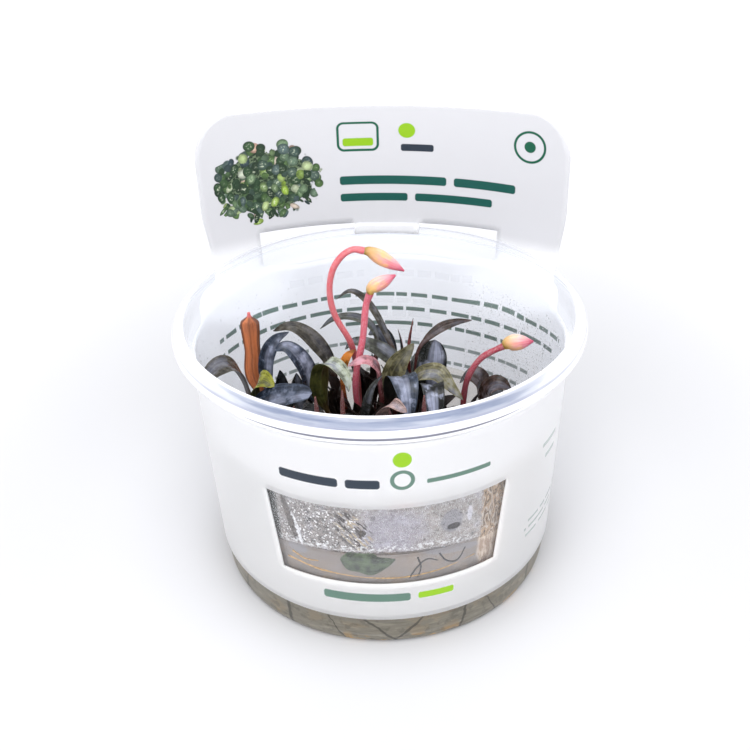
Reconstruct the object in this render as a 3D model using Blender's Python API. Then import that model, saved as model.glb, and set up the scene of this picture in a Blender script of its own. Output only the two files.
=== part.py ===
"""A bucephalandra growing in its clear tissue-culture cup, with the printed card sleeve round the cup.

Frame: metres, +Z up, origin at the centre of the cup's flat base. The sleeve's window faces -Y and its
upright header card stands at +Y. All sizes below are in millimetres, and each mesh is scaled to metres last.
"""
import math
import bmesh
import bpy
from mathutils import Matrix, Vector, geometry

MM = 0.001
GAP = 0.3

# Cup, a thin turned shell
CUP_HEIGHT = 68.5
RIM_RADIUS = 48.5
RIM_LIP_BOTTOM = 64.5
RIM_LIP_THICKNESS = 0.9
COLLAR_INNER_RADIUS = 45.4
COLLAR_OUTER_RADIUS = 46.3
LEDGE_HEIGHT = 61.6
WALL = 0.8
WALL_TOP = 60.8
WALL_RADIUS_FOOT = 41.6
WALL_RADIUS_TOP = 44.0
BASE_THICKNESS = 0.9
BASE_FLAT_RADIUS = 39.6
CUP_SEGMENTS = 48

# Nutrient gel
GEL_HEIGHT = 27.0
GEL_MENISCUS = 0.9

# Card sleeve, drawn flat: s runs round the cup from the middle of the back, z runs up
CARD = 0.4
SLEEVE_BOTTOM = 9.0
BAND_TOP = 60.2
WRAP_RADIUS = 44.5
WINDOW_BOTTOM = 20.4
WINDOW_TOP = 43.0
WINDOW_LEFT_ANGLE = 35.0
WINDOW_RIGHT_ANGLE = 36.4
WINDOW_LEAN = 1.1
HEADER_ARC_RADIUS = 83.0
HEADER_BACK = 45.8
HEADER_LEFT = -47.3
HEADER_RIGHT = 51.9
HEADER_WAIST = 1.4
WAIST_TOP = 78.0
HEADER_TOP = 102.2
HEADER_DIP = 0.9
HEADER_TILT = 0.02
HEADER_CORNER = 11.0
SLOT_LEFT = -32.0
SLOT_RIGHT = 33.0
SLOT_TOP = 69.1
TAB_LEFT = -6.0
TAB_RIGHT = 11.5
TAB_BOTTOM = 66.4
TAB_FOLD = 68.7
LIFT_OFF_HEIGHT = 44.0
LIFT_OFF_HEIGHT_ROUND_THE_SIDE = 61.0
LIFT_OFF_DONE = 64.8
COLUMN_STEP = 6.0

# Creeping stems: start, end (x, y) on the gel; each is a little thicker in the middle
RHIZOME_RADIUS = 1.6
RHIZOMES = [
    ((-33.0, -5.0), (-15.0, -7.0)),
    ((-25.0, 3.0), (-9.0, 3.5)),
    ((-6.0, 6.0), (12.0, 7.0)),
    ((-9.0, -5.0), (6.0, -8.0)),
    ((9.0, -2.0), (26.0, -4.0)),
    ((-16.0, -13.0), (2.0, -16.0)),
]

# Leaves: rhizome, place along it (0 to 1), the points that the midrib passes above its foot, blade width,
# roll about the midrib in degrees, share of the length that is stalk
LEAVES = {
    "leaf_left_arching": (0, 0.06, [(-32, -4, 44), (-33.5, -4, 52), (-36.5, -5, 56), (-40, -7.5, 55),
                                    (-40.5, -10, 50.5)], 6.5, -20, 0.40),
    "leaf_left_folded": (0, 0.50, [(-29, -7, 44), (-29.5, -8, 51), (-28, -8.5, 54),
                                   (-25, -11, 53.5)], 6.0, 20, 0.40),
    "leaf_left_upright": (0, 0.68, [(-21, 0, 41), (-21, 3, 48.3)], 4.5, 0, 0.40),
    "leaf_left_level": (0, 0.28, [(-30, -11, 46), (-26, -13, 51), (-20, -14, 53.2),
                                  (-16, -15, 54)], 7.0, 25, 0.40),
    "leaf_left_low": (0, 0.90, [(-18, -10, 41), (-19, -11, 46), (-14, -13, 48)], 5.0, 20, 0.40),
    "leaf_left_grey": (1, 0.14, [(-28, 2, 44), (-27.8, 2.5, 53), (-25.4, 3, 58),
                                 (-22, 3.5, 59.8)], 4.4, 45, 0.40),
    "leaf_arch_wide": (1, 0.85, [(-11.5, 6, 42), (-12.5, 7, 48), (-15.5, 7.5, 53.7), (-19, 8, 57.4),
                                 (-22.5, 8.5, 58.6), (-26.5, 9, 57)], 4.2, -40, 0.35),
    "leaf_arch_shiny": (1, 0.60, [(-17, 0, 45), (-18.5, -1, 52.3), (-20.7, -1.5, 57),
                                  (-22.8, -1.5, 58.6), (-25.3, -1.5, 57.6)], 5.6, -50, 0.30),
    "leaf_left_back": (1, 0.40, [(-22, 5, 36), (-25, 6, 41), (-25.5, 7, 46.8)], 4.0, -30, 0.40),
    "leaf_back_curled": (2, 0.15, [(-2, 9, 44), (-0.8, 11, 51), (-2.2, 12, 56), (-6.1, 12.5, 58.3),
                                   (-11.1, 13, 57.9), (-15.1, 13, 54.9)], 2.2, -35, 0.50),
    "leaf_back_tall": (2, 0.50, [(4, 8, 42), (3.9, 10, 47.5), (2, 12, 52.2), (-0.8, 14, 58.2),
                                 (-3.9, 15.5, 62.3), (-7.1, 16, 63.9), (-10.8, 16, 61.6)], 2.0, -35, 0.45),
    "leaf_back_dark": (2, 0.32, [(1.5, 12, 38), (2.5, 14, 43.8), (1.5, 15.5, 48.4), (-0.5, 17, 51.3),
                                 (-3, 18, 50)], 5.0, -45, 0.55),
    "leaf_back_low": (2, 0.70, [(9, 14, 38), (12, 19, 42), (17, 24, 41)], 6.0, 0, 0.40),
    "leaf_middle_grey": (2, 0.80, [(7, 3, 42), (4.2, 2, 50.5), (0.6, 3, 53.9), (-3, 3.5, 55.7),
                                   (-6.4, 4, 56.2), (-8.7, 4, 54)], 4.4, -35, 0.35),
    "leaf_spike_tall": (2, 0.92, [(7.5, 8, 42), (6.9, 8, 50.9), (8.3, 8, 60)], 1.6, 0, 0.60),
    "leaf_spike_short": (2, 0.585, [(5.5, 7, 44), (5.6, 7, 51), (5.2, 7, 54.5),
                                    (4.5, 7, 57.6)], 1.5, 0, 0.60),
    "leaf_front_folded": (3, 0.02, [(-11.5, -7, 38), (-13.5, -8, 45), (-14.4, -9, 52),
                                    (-13.6, -10, 58.2), (-10.8, -12.5, 60), (-8.2, -15, 58.2),
                                    (-7.5, -16.5, 55)], 5.6, 0, 0.35),
    "leaf_orange_scrap": (3, 0.19, [(-9, -4, 45), (-9.3, -3, 52), (-8, -2.6, 56),
                                    (-6, -2.2, 57.6)], 2.4, 20, 0.72),
    "leaf_pink_young": (3, 0.53, [(0, -6, 44), (-0.3, -6.5, 50), (-1, -7.5, 55.6), (-3.6, -8.5, 58.4),
                                  (-7.6, -9.5, 57.6)], 3.0, -35, 0.62),
    "leaf_front_pink": (3, 0.68, [(0, -12, 42), (0.8, -18, 50.5), (2.6, -22, 55),
                                  (5.5, -24, 54)], 5.0, 15, 0.40),
    "leaf_front_grey": (3, 0.84, [(3, -8, 45), (3.4, -9, 51.6), (4.8, -11.5, 55.4), (5.8, -16, 53.5),
                                  (6.2, -19, 47)], 6.5, 0, 0.35),
    "leaf_olive_blade": (3, 1.00, [(4, -5, 43), (2.2, -3.5, 49), (3.8, -2, 53),
                                   (8.2, 1, 57)], 6.5, 60, 0.40),
    "leaf_right_thin": (4, 0.00, [(9, 1, 42), (9, 4, 50.9), (10.6, 6, 54), (14.9, 8, 57),
                                  (18.9, 9, 58), (23, 10, 57.8)], 2.4, 30, 0.62),
    "leaf_right_round": (4, 0.16, [(12.5, 0, 43), (12.5, 0.5, 49), (13.4, 3, 56.6)], 8.2, 0, 0.45),
    "leaf_right_pale": (4, 0.32, [(12, -6, 43), (7.8, -7, 51), (12.5, -9, 54.8), (16, -11.5, 52.3),
                                  (19, -13, 49.5)], 5.5, 20, 0.40),
    "leaf_right_shiny": (4, 0.48, [(15.5, -7, 40), (12, -10.5, 47.5), (11.8, -12.5, 53.6),
                                   (12.2, -16.5, 52.5), (12.4, -19, 46)], 6.0, 0, 0.35),
    "leaf_right_brown": (4, 0.80, [(25, 0, 39), (24.8, 1.5, 44.5), (22.5, 2.5, 46.5),
                                   (19.6, 3.5, 43.5)], 5.5, -20, 0.40),
    "leaf_right_low": (4, 0.96, [(25, -6, 40), (25.4, -6.5, 47), (27.6, -7, 49.8),
                                 (31, -7.5, 48.6)], 6.2, 25, 0.35),
    "leaf_right_back": (4, 0.88, [(27, 4, 34), (29, 9, 37), (30, 14, 36)], 5.5, 0, 0.40),
    "leaf_front_left": (5, 0.06, [(-21, -19, 42), (-28, -18, 49), (-32.5, -15, 53.5)], 5.0, -20, 0.40),
    "leaf_front_dark": (5, 0.32, [(-11, -17, 40), (-10, -20, 48), (-5, -22, 51)], 6.5, 20, 0.40),
    "leaf_front_narrow": (5, 0.62, [(-4.5, -16, 42), (-3.7, -16, 50), (-2.2, -14, 54.2),
                                    (0.3, -11.5, 56.2)], 2.2, 30, 0.40),
    "leaf_front_right": (5, 0.95, [(4, -20, 38), (8, -24, 46), (14, -26, 47)], 7.0, 15, 0.40),
}

# Flower stalks: rhizome, place along it, points above the foot, thickness
FLOWER_STALKS = {
    "flower_stalk_hooked": (2, 0.02, [(-6, 3, 48), (-7, 0, 58), (-10.5, 0, 66), (-11.4, 0, 72),
                                      (-10.5, 0, 77.5), (-8.2, 0, 81.2), (-5.5, 0, 82.8),
                                      (-3, 0, 82.4)], 1.5),
    "flower_stalk_upright": (3, 0.36, [(-6, -5, 44), (-6, -5, 52), (-4, -4, 62), (-3, -3, 70),
                                       (-2, -3, 73)], 1.6),
    "flower_stalk_side": (4, 0.64, [(20, -4, 44), (21, -5, 51), (24, -5, 56), (29, -5, 59)], 1.5),
}

# Closed spathes at the stalks' ends: stalk, tip, thickness
SPATHES = {
    "spathe_hooked": ("flower_stalk_hooked", (6.0, 0.0, 77.0), 3.3),
    "spathe_upright": ("flower_stalk_upright", (4.0, -3.0, 77.5), 3.2),
    "spathe_side": ("flower_stalk_side", (36.0, -5.0, 60.0), 3.8),
}

# The old brown spathe that stands folded at the left
WITHERED = (1, 0.0, [(-31.5, 5, 46), (-31.6, 6, 54), (-31.6, 6, 64)], 4.6)

STALK_SIDES = 6
SPATHE_SIDES = 8
ROUTE_STEPS = 17
LEAF_RINGS = 11
WITHERED_RINGS = 21
STALK_RINGS = 18
SPATHE_RINGS = 9
SPATHE_NECK = 1.4
SPATHE_POINT_FROM = 0.8
LEAF_THICKNESS = 0.7
PETIOLE_WIDTH = 1.2
BLADE_CUP = 0.22

COLOURS = {
    "clear plastic": ((0.90, 0.92, 0.95), 0.08, 0.25),
    "printed card": ((0.88, 0.89, 0.92), 0.45, 1.0),
    "gel": ((0.78, 0.70, 0.60), 0.10, 0.5),
    "rhizome": ((0.16, 0.13, 0.07), 0.55, 1.0),
    "leaf": ((0.06, 0.08, 0.05), 0.30, 1.0),
    "flower stalk": ((0.62, 0.18, 0.20), 0.40, 1.0),
    "spathe": ((0.85, 0.50, 0.42), 0.40, 1.0),
    "withered": ((0.45, 0.18, 0.07), 0.65, 1.0),
}


def clear_scene():
    for thing in list(bpy.data.objects):
        bpy.data.objects.remove(thing)


def material(name):
    colour, roughness, alpha = COLOURS[name]
    made = bpy.data.materials.new(name)
    made.use_nodes = True
    shader = made.node_tree.nodes["Principled BSDF"]
    shader.inputs["Base Color"].default_value = (*colour, 1.0)
    shader.inputs["Roughness"].default_value = roughness
    shader.inputs["Metallic"].default_value = 0.0
    shader.inputs["Alpha"].default_value = alpha
    return made


def add_object(name, bm, material_name):
    """Scale a mesh drawn in millimetres to metres and put it in the scene as one named object."""
    bmesh.ops.transform(bm, matrix=Matrix.Scale(MM, 4), verts=bm.verts)
    mesh = bpy.data.meshes.new(name)
    bm.to_mesh(mesh)
    bm.free()
    mesh.materials.append(material(material_name))
    mesh.shade_smooth()
    mesh.set_sharp_from_angle(angle=math.radians(40))
    thing = bpy.data.objects.new(name, mesh)
    bpy.context.scene.collection.objects.link(thing)
    return thing


def turned(name, profile, segments, material_name):
    """Turn a profile of (radius, height) points that starts and ends on the axis."""
    bm = bmesh.new()
    points = [bm.verts.new((r, 0.0, z)) for r, z in profile]
    edges = [bm.edges.new(pair) for pair in zip(points, points[1:])]
    bmesh.ops.spin(bm, geom=points + edges, cent=(0, 0, 0), axis=(0, 0, 1), angle=math.tau,
                   steps=segments, use_merge=True, use_duplicate=False)
    bmesh.ops.remove_doubles(bm, verts=bm.verts, dist=0.001)
    bmesh.ops.recalc_face_normals(bm, faces=bm.faces)
    return add_object(name, bm, material_name)


def wall_outer(z):
    return WALL_RADIUS_FOOT + (WALL_RADIUS_TOP - WALL_RADIUS_FOOT) * z / WALL_TOP


def wall_inner(z):
    return wall_outer(z) - WALL


def build_cup():
    rim_inside = RIM_RADIUS - RIM_LIP_THICKNESS
    profile = [
        (0.0, 0.0),
        (BASE_FLAT_RADIUS, 0.0),
        (BASE_FLAT_RADIUS + 1.5, 0.6),
        (wall_outer(2.2), 2.2),
        (WALL_RADIUS_TOP, WALL_TOP),
        (COLLAR_OUTER_RADIUS, WALL_TOP + 0.9),
        (COLLAR_OUTER_RADIUS + 0.1, RIM_LIP_BOTTOM + 0.9),
        (rim_inside, RIM_LIP_BOTTOM + 0.7),
        (rim_inside, RIM_LIP_BOTTOM),
        (RIM_RADIUS, RIM_LIP_BOTTOM),
        (RIM_RADIUS, CUP_HEIGHT - 2.2),
        (RIM_RADIUS - 0.4, CUP_HEIGHT - 1.7),
        (RIM_RADIUS - 1.4, CUP_HEIGHT - 1.2),
        (RIM_RADIUS - 2.0, CUP_HEIGHT - 0.3),
        (RIM_RADIUS - 2.5, CUP_HEIGHT),
        (COLLAR_INNER_RADIUS + 0.2, CUP_HEIGHT - 0.2),
        (COLLAR_INNER_RADIUS, CUP_HEIGHT - 0.9),
        (COLLAR_INNER_RADIUS, LEDGE_HEIGHT + 0.5),
        (COLLAR_INNER_RADIUS - 0.9, LEDGE_HEIGHT),
        (wall_inner(WALL_TOP) + 0.1, LEDGE_HEIGHT - 0.3),
        (wall_inner(WALL_TOP), LEDGE_HEIGHT - 0.9),
        (wall_inner(2.6), 2.6),
        (BASE_FLAT_RADIUS + 0.3, BASE_THICKNESS + 0.4),
        (BASE_FLAT_RADIUS - 1.0, BASE_THICKNESS),
        (0.0, BASE_THICKNESS),
    ]
    return turned("cup", profile, CUP_SEGMENTS, "clear plastic")


def build_gel():
    profile = [
        (0.0, BASE_THICKNESS + GAP),
        (BASE_FLAT_RADIUS - 1.2, BASE_THICKNESS + GAP),
        (wall_inner(3.2) - GAP, 3.2),
        (wall_inner(GEL_HEIGHT) - GAP, GEL_HEIGHT + GEL_MENISCUS),
        (wall_inner(GEL_HEIGHT) - GAP - 0.7, GEL_HEIGHT + 0.3 * GEL_MENISCUS),
        (wall_inner(GEL_HEIGHT) - GAP - 2.4, GEL_HEIGHT),
        (0.0, GEL_HEIGHT),
    ]
    return turned("nutrient_gel", profile, CUP_SEGMENTS, "gel")


def smoothstep(low, high, value):
    t = min(1.0, max(0.0, (value - low) / (high - low)))
    return t * t * (3.0 - 2.0 * t)


def spaced(marks, step):
    """Places from the first mark to the last, no further apart than step, with every mark among them."""
    places = [marks[0]]
    for start, end in zip(marks, marks[1:]):
        count = math.ceil((end - start) / step)
        places += [start + (end - start) * k / count for k in range(1, count + 1)]
    return places


def on_the_wall(s, z):
    """Where the card lies against the cup."""
    angle = s / WRAP_RADIUS
    radius = wall_outer(z) + GAP + CARD / 2
    return Vector((radius * math.sin(angle), radius * math.cos(angle), z))


def on_the_header(s, z):
    """Where the card stands as the header, on a flatter arc than the cup's."""
    angle = s / HEADER_ARC_RADIUS
    centre = HEADER_BACK - HEADER_ARC_RADIUS
    return Vector((HEADER_ARC_RADIUS * math.sin(angle), centre + HEADER_ARC_RADIUS * math.cos(angle), z))


def on_the_tab(s, z):
    """Where the locking tab hangs, just inside the cup's collar."""
    x = on_the_header(s, z).x
    radius = COLLAR_INNER_RADIUS - GAP - CARD / 2
    return Vector((x, math.sqrt(radius ** 2 - x ** 2), z))


def slot_middle_share(s, z):
    """1 where the card is free to leave the wall, 0 on the stretch below the slot, which stays on it."""
    beside = smoothstep(SLOT_RIGHT - 13.0, SLOT_RIGHT - 1.0, abs(s))
    return max(beside, smoothstep(BAND_TOP, SLOT_TOP, z))


def card_place(s, z):
    """The middle of the card's thickness, for a place on the flat drawing."""
    if TAB_LEFT - 0.1 <= s <= TAB_RIGHT + 0.1 and BAND_TOP + 1.0 < z <= TAB_FOLD:
        return on_the_tab(s, z)
    side = smoothstep(SLOT_RIGHT, 2 * SLOT_RIGHT, abs(s))
    lift_off = LIFT_OFF_HEIGHT + (LIFT_OFF_HEIGHT_ROUND_THE_SIDE - LIFT_OFF_HEIGHT) * side
    share = smoothstep(lift_off, LIFT_OFF_DONE, z) * slot_middle_share(s, z)
    return on_the_wall(s, z).lerp(on_the_header(s, z), share)


def header_reach(side, z):
    """How far the header's outline reaches to one side: a slight waist and a rounded top corner."""
    reach = side - math.copysign(HEADER_WAIST * (1.0 - smoothstep(LIFT_OFF_DONE, WAIST_TOP, z)), side)
    into_corner = z - (HEADER_TOP - HEADER_CORNER)
    if into_corner > 0:
        back = HEADER_CORNER - math.sqrt(max(0.0, HEADER_CORNER ** 2 - into_corner ** 2))
        reach -= math.copysign(back, side)
    return reach


def outline_shift(s, z):
    """Draw the header's outer columns in to its outline."""
    if z < BAND_TOP + 0.1 or SLOT_LEFT <= s <= SLOT_RIGHT:
        return s
    side, slot_end = (HEADER_LEFT, SLOT_LEFT) if s < 0 else (HEADER_RIGHT, SLOT_RIGHT)
    share = (s - slot_end) / (side - slot_end)
    return slot_end + share * (header_reach(side, z) - slot_end)


def window_shift(s, z):
    """Lean the window's upright edges so that it is a little wider at its top."""
    edge = math.copysign(WINDOW_LEAN, s)
    near = max(0.0, 1.0 - abs(abs(s) - window_edge(math.copysign(1, s))) / (2 * COLUMN_STEP))
    height = (z - WINDOW_BOTTOM) / (WINDOW_TOP - WINDOW_BOTTOM) - 0.5
    return s - edge * near * min(0.5, max(-0.5, height)) * 2


def window_edge(side):
    angle = WINDOW_LEFT_ANGLE if side < 0 else WINDOW_RIGHT_ANGLE
    return WRAP_RADIUS * (math.pi - math.radians(angle))


def is_cut_away(s, z):
    """True for a place on the flat drawing that the die cuts out or leaves outside the outline."""
    in_window = (s < -window_edge(-1) or s > window_edge(1)) and WINDOW_BOTTOM < z < WINDOW_TOP
    beyond_header = z > BAND_TOP and not HEADER_LEFT < s < HEADER_RIGHT
    in_slot = SLOT_LEFT < s < SLOT_RIGHT and BAND_TOP < z < SLOT_TOP
    in_tab = TAB_LEFT < s < TAB_RIGHT and z > TAB_BOTTOM
    return in_window or beyond_header or (in_slot and not in_tab)


def build_sleeve():
    half_way_round = math.pi * WRAP_RADIUS
    columns = spaced([-half_way_round, -window_edge(-1), HEADER_LEFT, SLOT_LEFT, TAB_LEFT, TAB_RIGHT,
                      SLOT_RIGHT, HEADER_RIGHT, window_edge(1), half_way_round], COLUMN_STEP)
    corner = HEADER_TOP - HEADER_CORNER
    rows = [SLEEVE_BOTTOM, WINDOW_BOTTOM, WINDOW_TOP, 47.0, 51.0, 55.0, BAND_TOP, 62.5, LIFT_OFF_DONE,
            TAB_BOTTOM, TAB_FOLD, SLOT_TOP, WAIST_TOP, corner, corner + 5.0, corner + 8.0, corner + 10.0,
            HEADER_TOP]
    bm = bmesh.new()
    bmesh.ops.create_grid(bm, x_segments=len(columns) - 1, y_segments=len(rows) - 1, size=0.5)
    for vert in bm.verts:
        column = round((vert.co.x + 0.5) * (len(columns) - 1))
        row = round((vert.co.y + 0.5) * (len(rows) - 1))
        vert.co = (columns[column], rows[row], 0.0)
    waste = [face for face in bm.faces if is_cut_away(*face.calc_center_median().xy)]
    bmesh.ops.delete(bm, geom=waste, context="FACES")
    for vert in bm.verts:
        s, z = vert.co.xy
        s = window_shift(outline_shift(s, z), z)
        dip = HEADER_DIP * (1.0 - (s / HEADER_RIGHT) ** 2) * smoothstep(corner, HEADER_TOP, z)
        askew = HEADER_TILT * s * smoothstep(BAND_TOP, SLOT_TOP, z)
        vert.co = card_place(s, z) - Vector((0.0, 0.0, dip + askew))
    bmesh.ops.remove_doubles(bm, verts=bm.verts, dist=0.01)
    bmesh.ops.recalc_face_normals(bm, faces=bm.faces)
    sleeve = add_object("card_sleeve", bm, "printed card")
    thickness = sleeve.modifiers.new("card thickness", "SOLIDIFY")
    thickness.thickness = CARD * MM
    thickness.offset = 0.0
    thickness.use_even_offset = True
    return sleeve


def smooth_route(points, count):
    """Places evenly spaced along a smooth curve through the points."""
    points = [Vector(p) for p in points]
    behind = [points[0] * 2 - points[1]] + points[:-1]
    ahead = points[1:] + [points[-1] * 2 - points[-2]]
    pull = [(after - before).normalized() / 3.0 for before, after in zip(behind, ahead)]
    fine = [points[0]]
    for k, (start, end) in enumerate(zip(points, points[1:])):
        reach = (end - start).length
        fine += geometry.interpolate_bezier(start, start + pull[k] * reach, end - pull[k + 1] * reach, end,
                                            ROUTE_STEPS)[1:]
    lengths = [0.0]
    for a, b in zip(fine, fine[1:]):
        lengths.append(lengths[-1] + (b - a).length)
    places = []
    for k in range(count):
        wanted = lengths[-1] * k / (count - 1)
        at = max(1, next((i for i, run in enumerate(lengths) if run >= wanted - 1e-9), len(lengths) - 1))
        share = (wanted - lengths[at - 1]) / (lengths[at] - lengths[at - 1])
        places.append(fine[at - 1].lerp(fine[at], share))
    return places


def frames_along(route, across, roll):
    """The place, across and upper-side directions of each ring of a rod that follows the route."""
    frames = []
    for k, place in enumerate(route):
        tangent = (route[min(k + 1, len(route) - 1)] - route[max(k - 1, 0)]).normalized()
        sideways = (across - tangent * across.dot(tangent)).normalized()
        sideways = Matrix.Rotation(math.radians(roll), 3, tangent) @ sideways
        frames.append((place, sideways, sideways.cross(tangent).normalized()))
    return frames


def bent_rod(name, sides, frames, section, material_name):
    """A many-sided rod cut into rings and bent along the frames; section(t) gives its half width, half
    thickness and how far its edges are raised."""
    bm = bmesh.new()
    turn = Matrix.Rotation(math.pi / 4 if sides == 4 else 0.0, 4, "Z")
    bmesh.ops.create_cone(bm, cap_ends=True, segments=sides, radius1=1.0, radius2=1.0, depth=1.0, matrix=turn)
    lengthwise = [e for e in bm.edges if abs(e.verts[0].co.z - e.verts[1].co.z) > 0.5]
    bmesh.ops.subdivide_edges(bm, edges=lengthwise, cuts=len(frames) - 2, use_grid_fill=True)
    last = len(frames) - 1
    for vert in bm.verts:
        ring = round((vert.co.z + 0.5) * last)
        place, sideways, up = frames[ring]
        half_width, half_thickness, raised = section(ring / last)
        x, y = vert.co.xy
        vert.co = place - sideways * (x * half_width) + up * (y * half_thickness + raised * x * x)
    return add_object(name, bm, material_name)


def foot_of(rhizome, share):
    """The place on a creeping stem's upper side where a leaf or stalk stands."""
    start, end = (Vector((*p, 0.0)) for p in RHIZOMES[rhizome])
    return start.lerp(end, share) + Vector((0.0, 0.0, GEL_HEIGHT + 2 * GAP + 2 * RHIZOME_RADIUS))


def build_rhizomes():
    for number, (start, end) in enumerate(RHIZOMES, start=1):
        height = GEL_HEIGHT + GAP + RHIZOME_RADIUS
        route = smooth_route([(*start, height), (*end, height)], 7)
        along = (route[-1] - route[0]).normalized()
        frames = frames_along(route, along.cross(Vector((0.0, 0.0, 1.0))), 0.0)

        def section(t):
            radius = RHIZOME_RADIUS * (0.72 + 0.28 * math.sin(math.pi * t))
            return radius, radius, 0.0

        bent_rod(f"rhizome_{number}", STALK_SIDES, frames, section, "rhizome")


def build_leaf(name, rhizome, share, points, width, roll, stalk_share):
    foot = foot_of(rhizome, share)
    route = smooth_route([foot, *points], LEAF_RINGS)
    heading = route[-1] - route[len(route) // 2]
    across = heading.cross(Vector((0.0, 0.0, 1.0))).normalized()
    frames = frames_along(route, across, roll)

    def section(t):
        u = max(0.0, (t - stalk_share) / (1.0 - stalk_share))
        blade = width / 2 * math.sin(math.pi * u ** 0.8) ** 0.8 if 0.0 < u < 0.999 else 0.0
        half_width = max(blade, PETIOLE_WIDTH / 2 * min(1.0, 3.0 * (1.0 - t) + 0.15))
        thickness = PETIOLE_WIDTH + (LEAF_THICKNESS - PETIOLE_WIDTH) * smoothstep(0.0, 0.4, u)
        return half_width, thickness / 2 * min(1.0, 4 * (1 - t) + 0.3), BLADE_CUP * blade

    return bent_rod(name, 4, frames, section, "leaf")


def build_flowers():
    ends = {}
    for name, (rhizome, share, points, thickness) in FLOWER_STALKS.items():
        route = smooth_route([foot_of(rhizome, share), *points], STALK_RINGS)
        frames = frames_along(route, Vector((0.0, 1.0, 0.0)), 0.0)
        bent_rod(name, STALK_SIDES, frames, lambda t: (thickness / 2, thickness / 2, 0.0), "flower stalk")
        ends[name] = (route[-1], (route[-1] - route[-2]).normalized())
    for name, (stalk, tip, thickness) in SPATHES.items():
        end, direction = ends[stalk]
        start = end + direction * GAP
        neck = start + direction * SPATHE_NECK
        route = smooth_route([start, neck, neck.lerp(Vector(tip), 0.5), tip], SPATHE_RINGS)
        frames = frames_along(route, Vector((0.0, 1.0, 0.0)), 0.0)

        def section(t):
            belly = 0.42 + 0.58 * math.sin(math.pi * min(1.0, t * 1.15 + 0.02)) ** 0.8
            point = 0.62 - 2.5 * (t - SPATHE_POINT_FROM)
            radius = thickness / 2 * (belly if t < SPATHE_POINT_FROM else point)
            return radius, radius, 0.0

        bent_rod(name, SPATHE_SIDES, frames, section, "spathe")


def build_withered():
    rhizome, share, points, width = WITHERED
    route = smooth_route([foot_of(rhizome, share), *points], WITHERED_RINGS)
    frames = frames_along(route, Vector((1.0, 0.0, 0.0)), 0.0)

    def section(t):
        flat = smoothstep(0.25, 0.5, t)
        pinch = (1.0 - 0.8 * smoothstep(0.92, 0.98, t)) * (0.8 + 0.2 * smoothstep(0.0, 0.2, abs(t - 0.72)))
        half_width = (PETIOLE_WIDTH + (width - PETIOLE_WIDTH) * flat) / 2 * pinch
        return half_width, 0.6 + 0.5 * flat * (1.0 - smoothstep(0.8, 1.0, t)), 0.0

    bent_rod("spathe_withered", STALK_SIDES, frames, section, "withered")


def main():
    clear_scene()
    build_cup()
    build_gel()
    build_sleeve()
    build_rhizomes()
    for name, values in LEAVES.items():
        build_leaf(name, *values)
    build_flowers()
    build_withered()


main()
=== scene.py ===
"""Fine surfaces for a bucephalandra that grows in a clear culture cup with a printed card sleeve.

The packed model is the frame. Sizes below are in millimetres and each mesh is scaled to metres last.
+Z is up, the sleeve's window faces -Y and its upright header card stands at +Y.
"""
import math
import random
import bmesh
import bpy
from bpy.props import FloatProperty, FloatVectorProperty, IntProperty, PointerProperty
from mathutils import Matrix, Vector, geometry


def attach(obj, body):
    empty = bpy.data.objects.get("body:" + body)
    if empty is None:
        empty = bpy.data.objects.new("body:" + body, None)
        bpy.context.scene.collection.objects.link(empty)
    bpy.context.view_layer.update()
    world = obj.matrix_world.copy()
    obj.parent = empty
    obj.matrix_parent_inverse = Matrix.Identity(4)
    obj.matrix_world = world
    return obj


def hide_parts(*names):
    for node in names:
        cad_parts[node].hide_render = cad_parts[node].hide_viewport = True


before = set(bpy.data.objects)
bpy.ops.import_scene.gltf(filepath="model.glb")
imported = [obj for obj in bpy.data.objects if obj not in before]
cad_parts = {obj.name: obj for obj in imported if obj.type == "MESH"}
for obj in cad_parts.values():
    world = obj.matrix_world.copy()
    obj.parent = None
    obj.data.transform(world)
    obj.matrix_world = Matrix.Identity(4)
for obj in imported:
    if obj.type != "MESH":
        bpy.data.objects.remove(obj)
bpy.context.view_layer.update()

bl_info = {
    "name": "Plant in a culture cup",
    "version": (1, 0, 0),
    "blender": (4, 5, 0),
    "location": "View3D > Sidebar > Culture cup",
    "description": "Builds the fine surfaces of a water plant in a clear cup with a card sleeve",
    "category": "Object",
}

MM = 0.001
GAP = 0.3
SHARP_ANGLE = 42
RIGHTWARDS = Vector((1.0, 0.0, 0.0))
BACKWARDS = Vector((0.0, 1.0, 0.0))
UPWARDS = Vector((0.0, 0.0, 1.0))

# Cup. Its wet wall looks golden right of GOLDEN_SIDE and dark left of DARK_SIDE, in degrees from the front
CUP_HEIGHT = 68.5
RIM_RADIUS = 48.5
RIM_LIP_BOTTOM = 64.5
RIM_LIP_THICKNESS = 0.9
RIM_STEP = 2.2
RIM_CREST_WIDTH = 2.5
COLLAR_INNER_RADIUS = 45.4
COLLAR_OUTER_RADIUS = 46.3
LEDGE_HEIGHT = 61.6
WALL = 0.8
WALL_TOP = 60.8
WALL_RADIUS_FOOT = 41.6
WALL_RADIUS_TOP = 44.0
BASE_THICKNESS = 0.9
BASE_FLAT_RADIUS = 39.6
BASE_ROUND_HEIGHT = 2.2
FILLET = 0.35
GOLDEN_SIDE = 30.6
DARK_SIDE = -34.6

# Gel
GEL_HEIGHT = 27.0
GEL_MENISCUS = 0.9
GEL_FILLET = 0.5
GEL_SEGMENTS = 120

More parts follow.
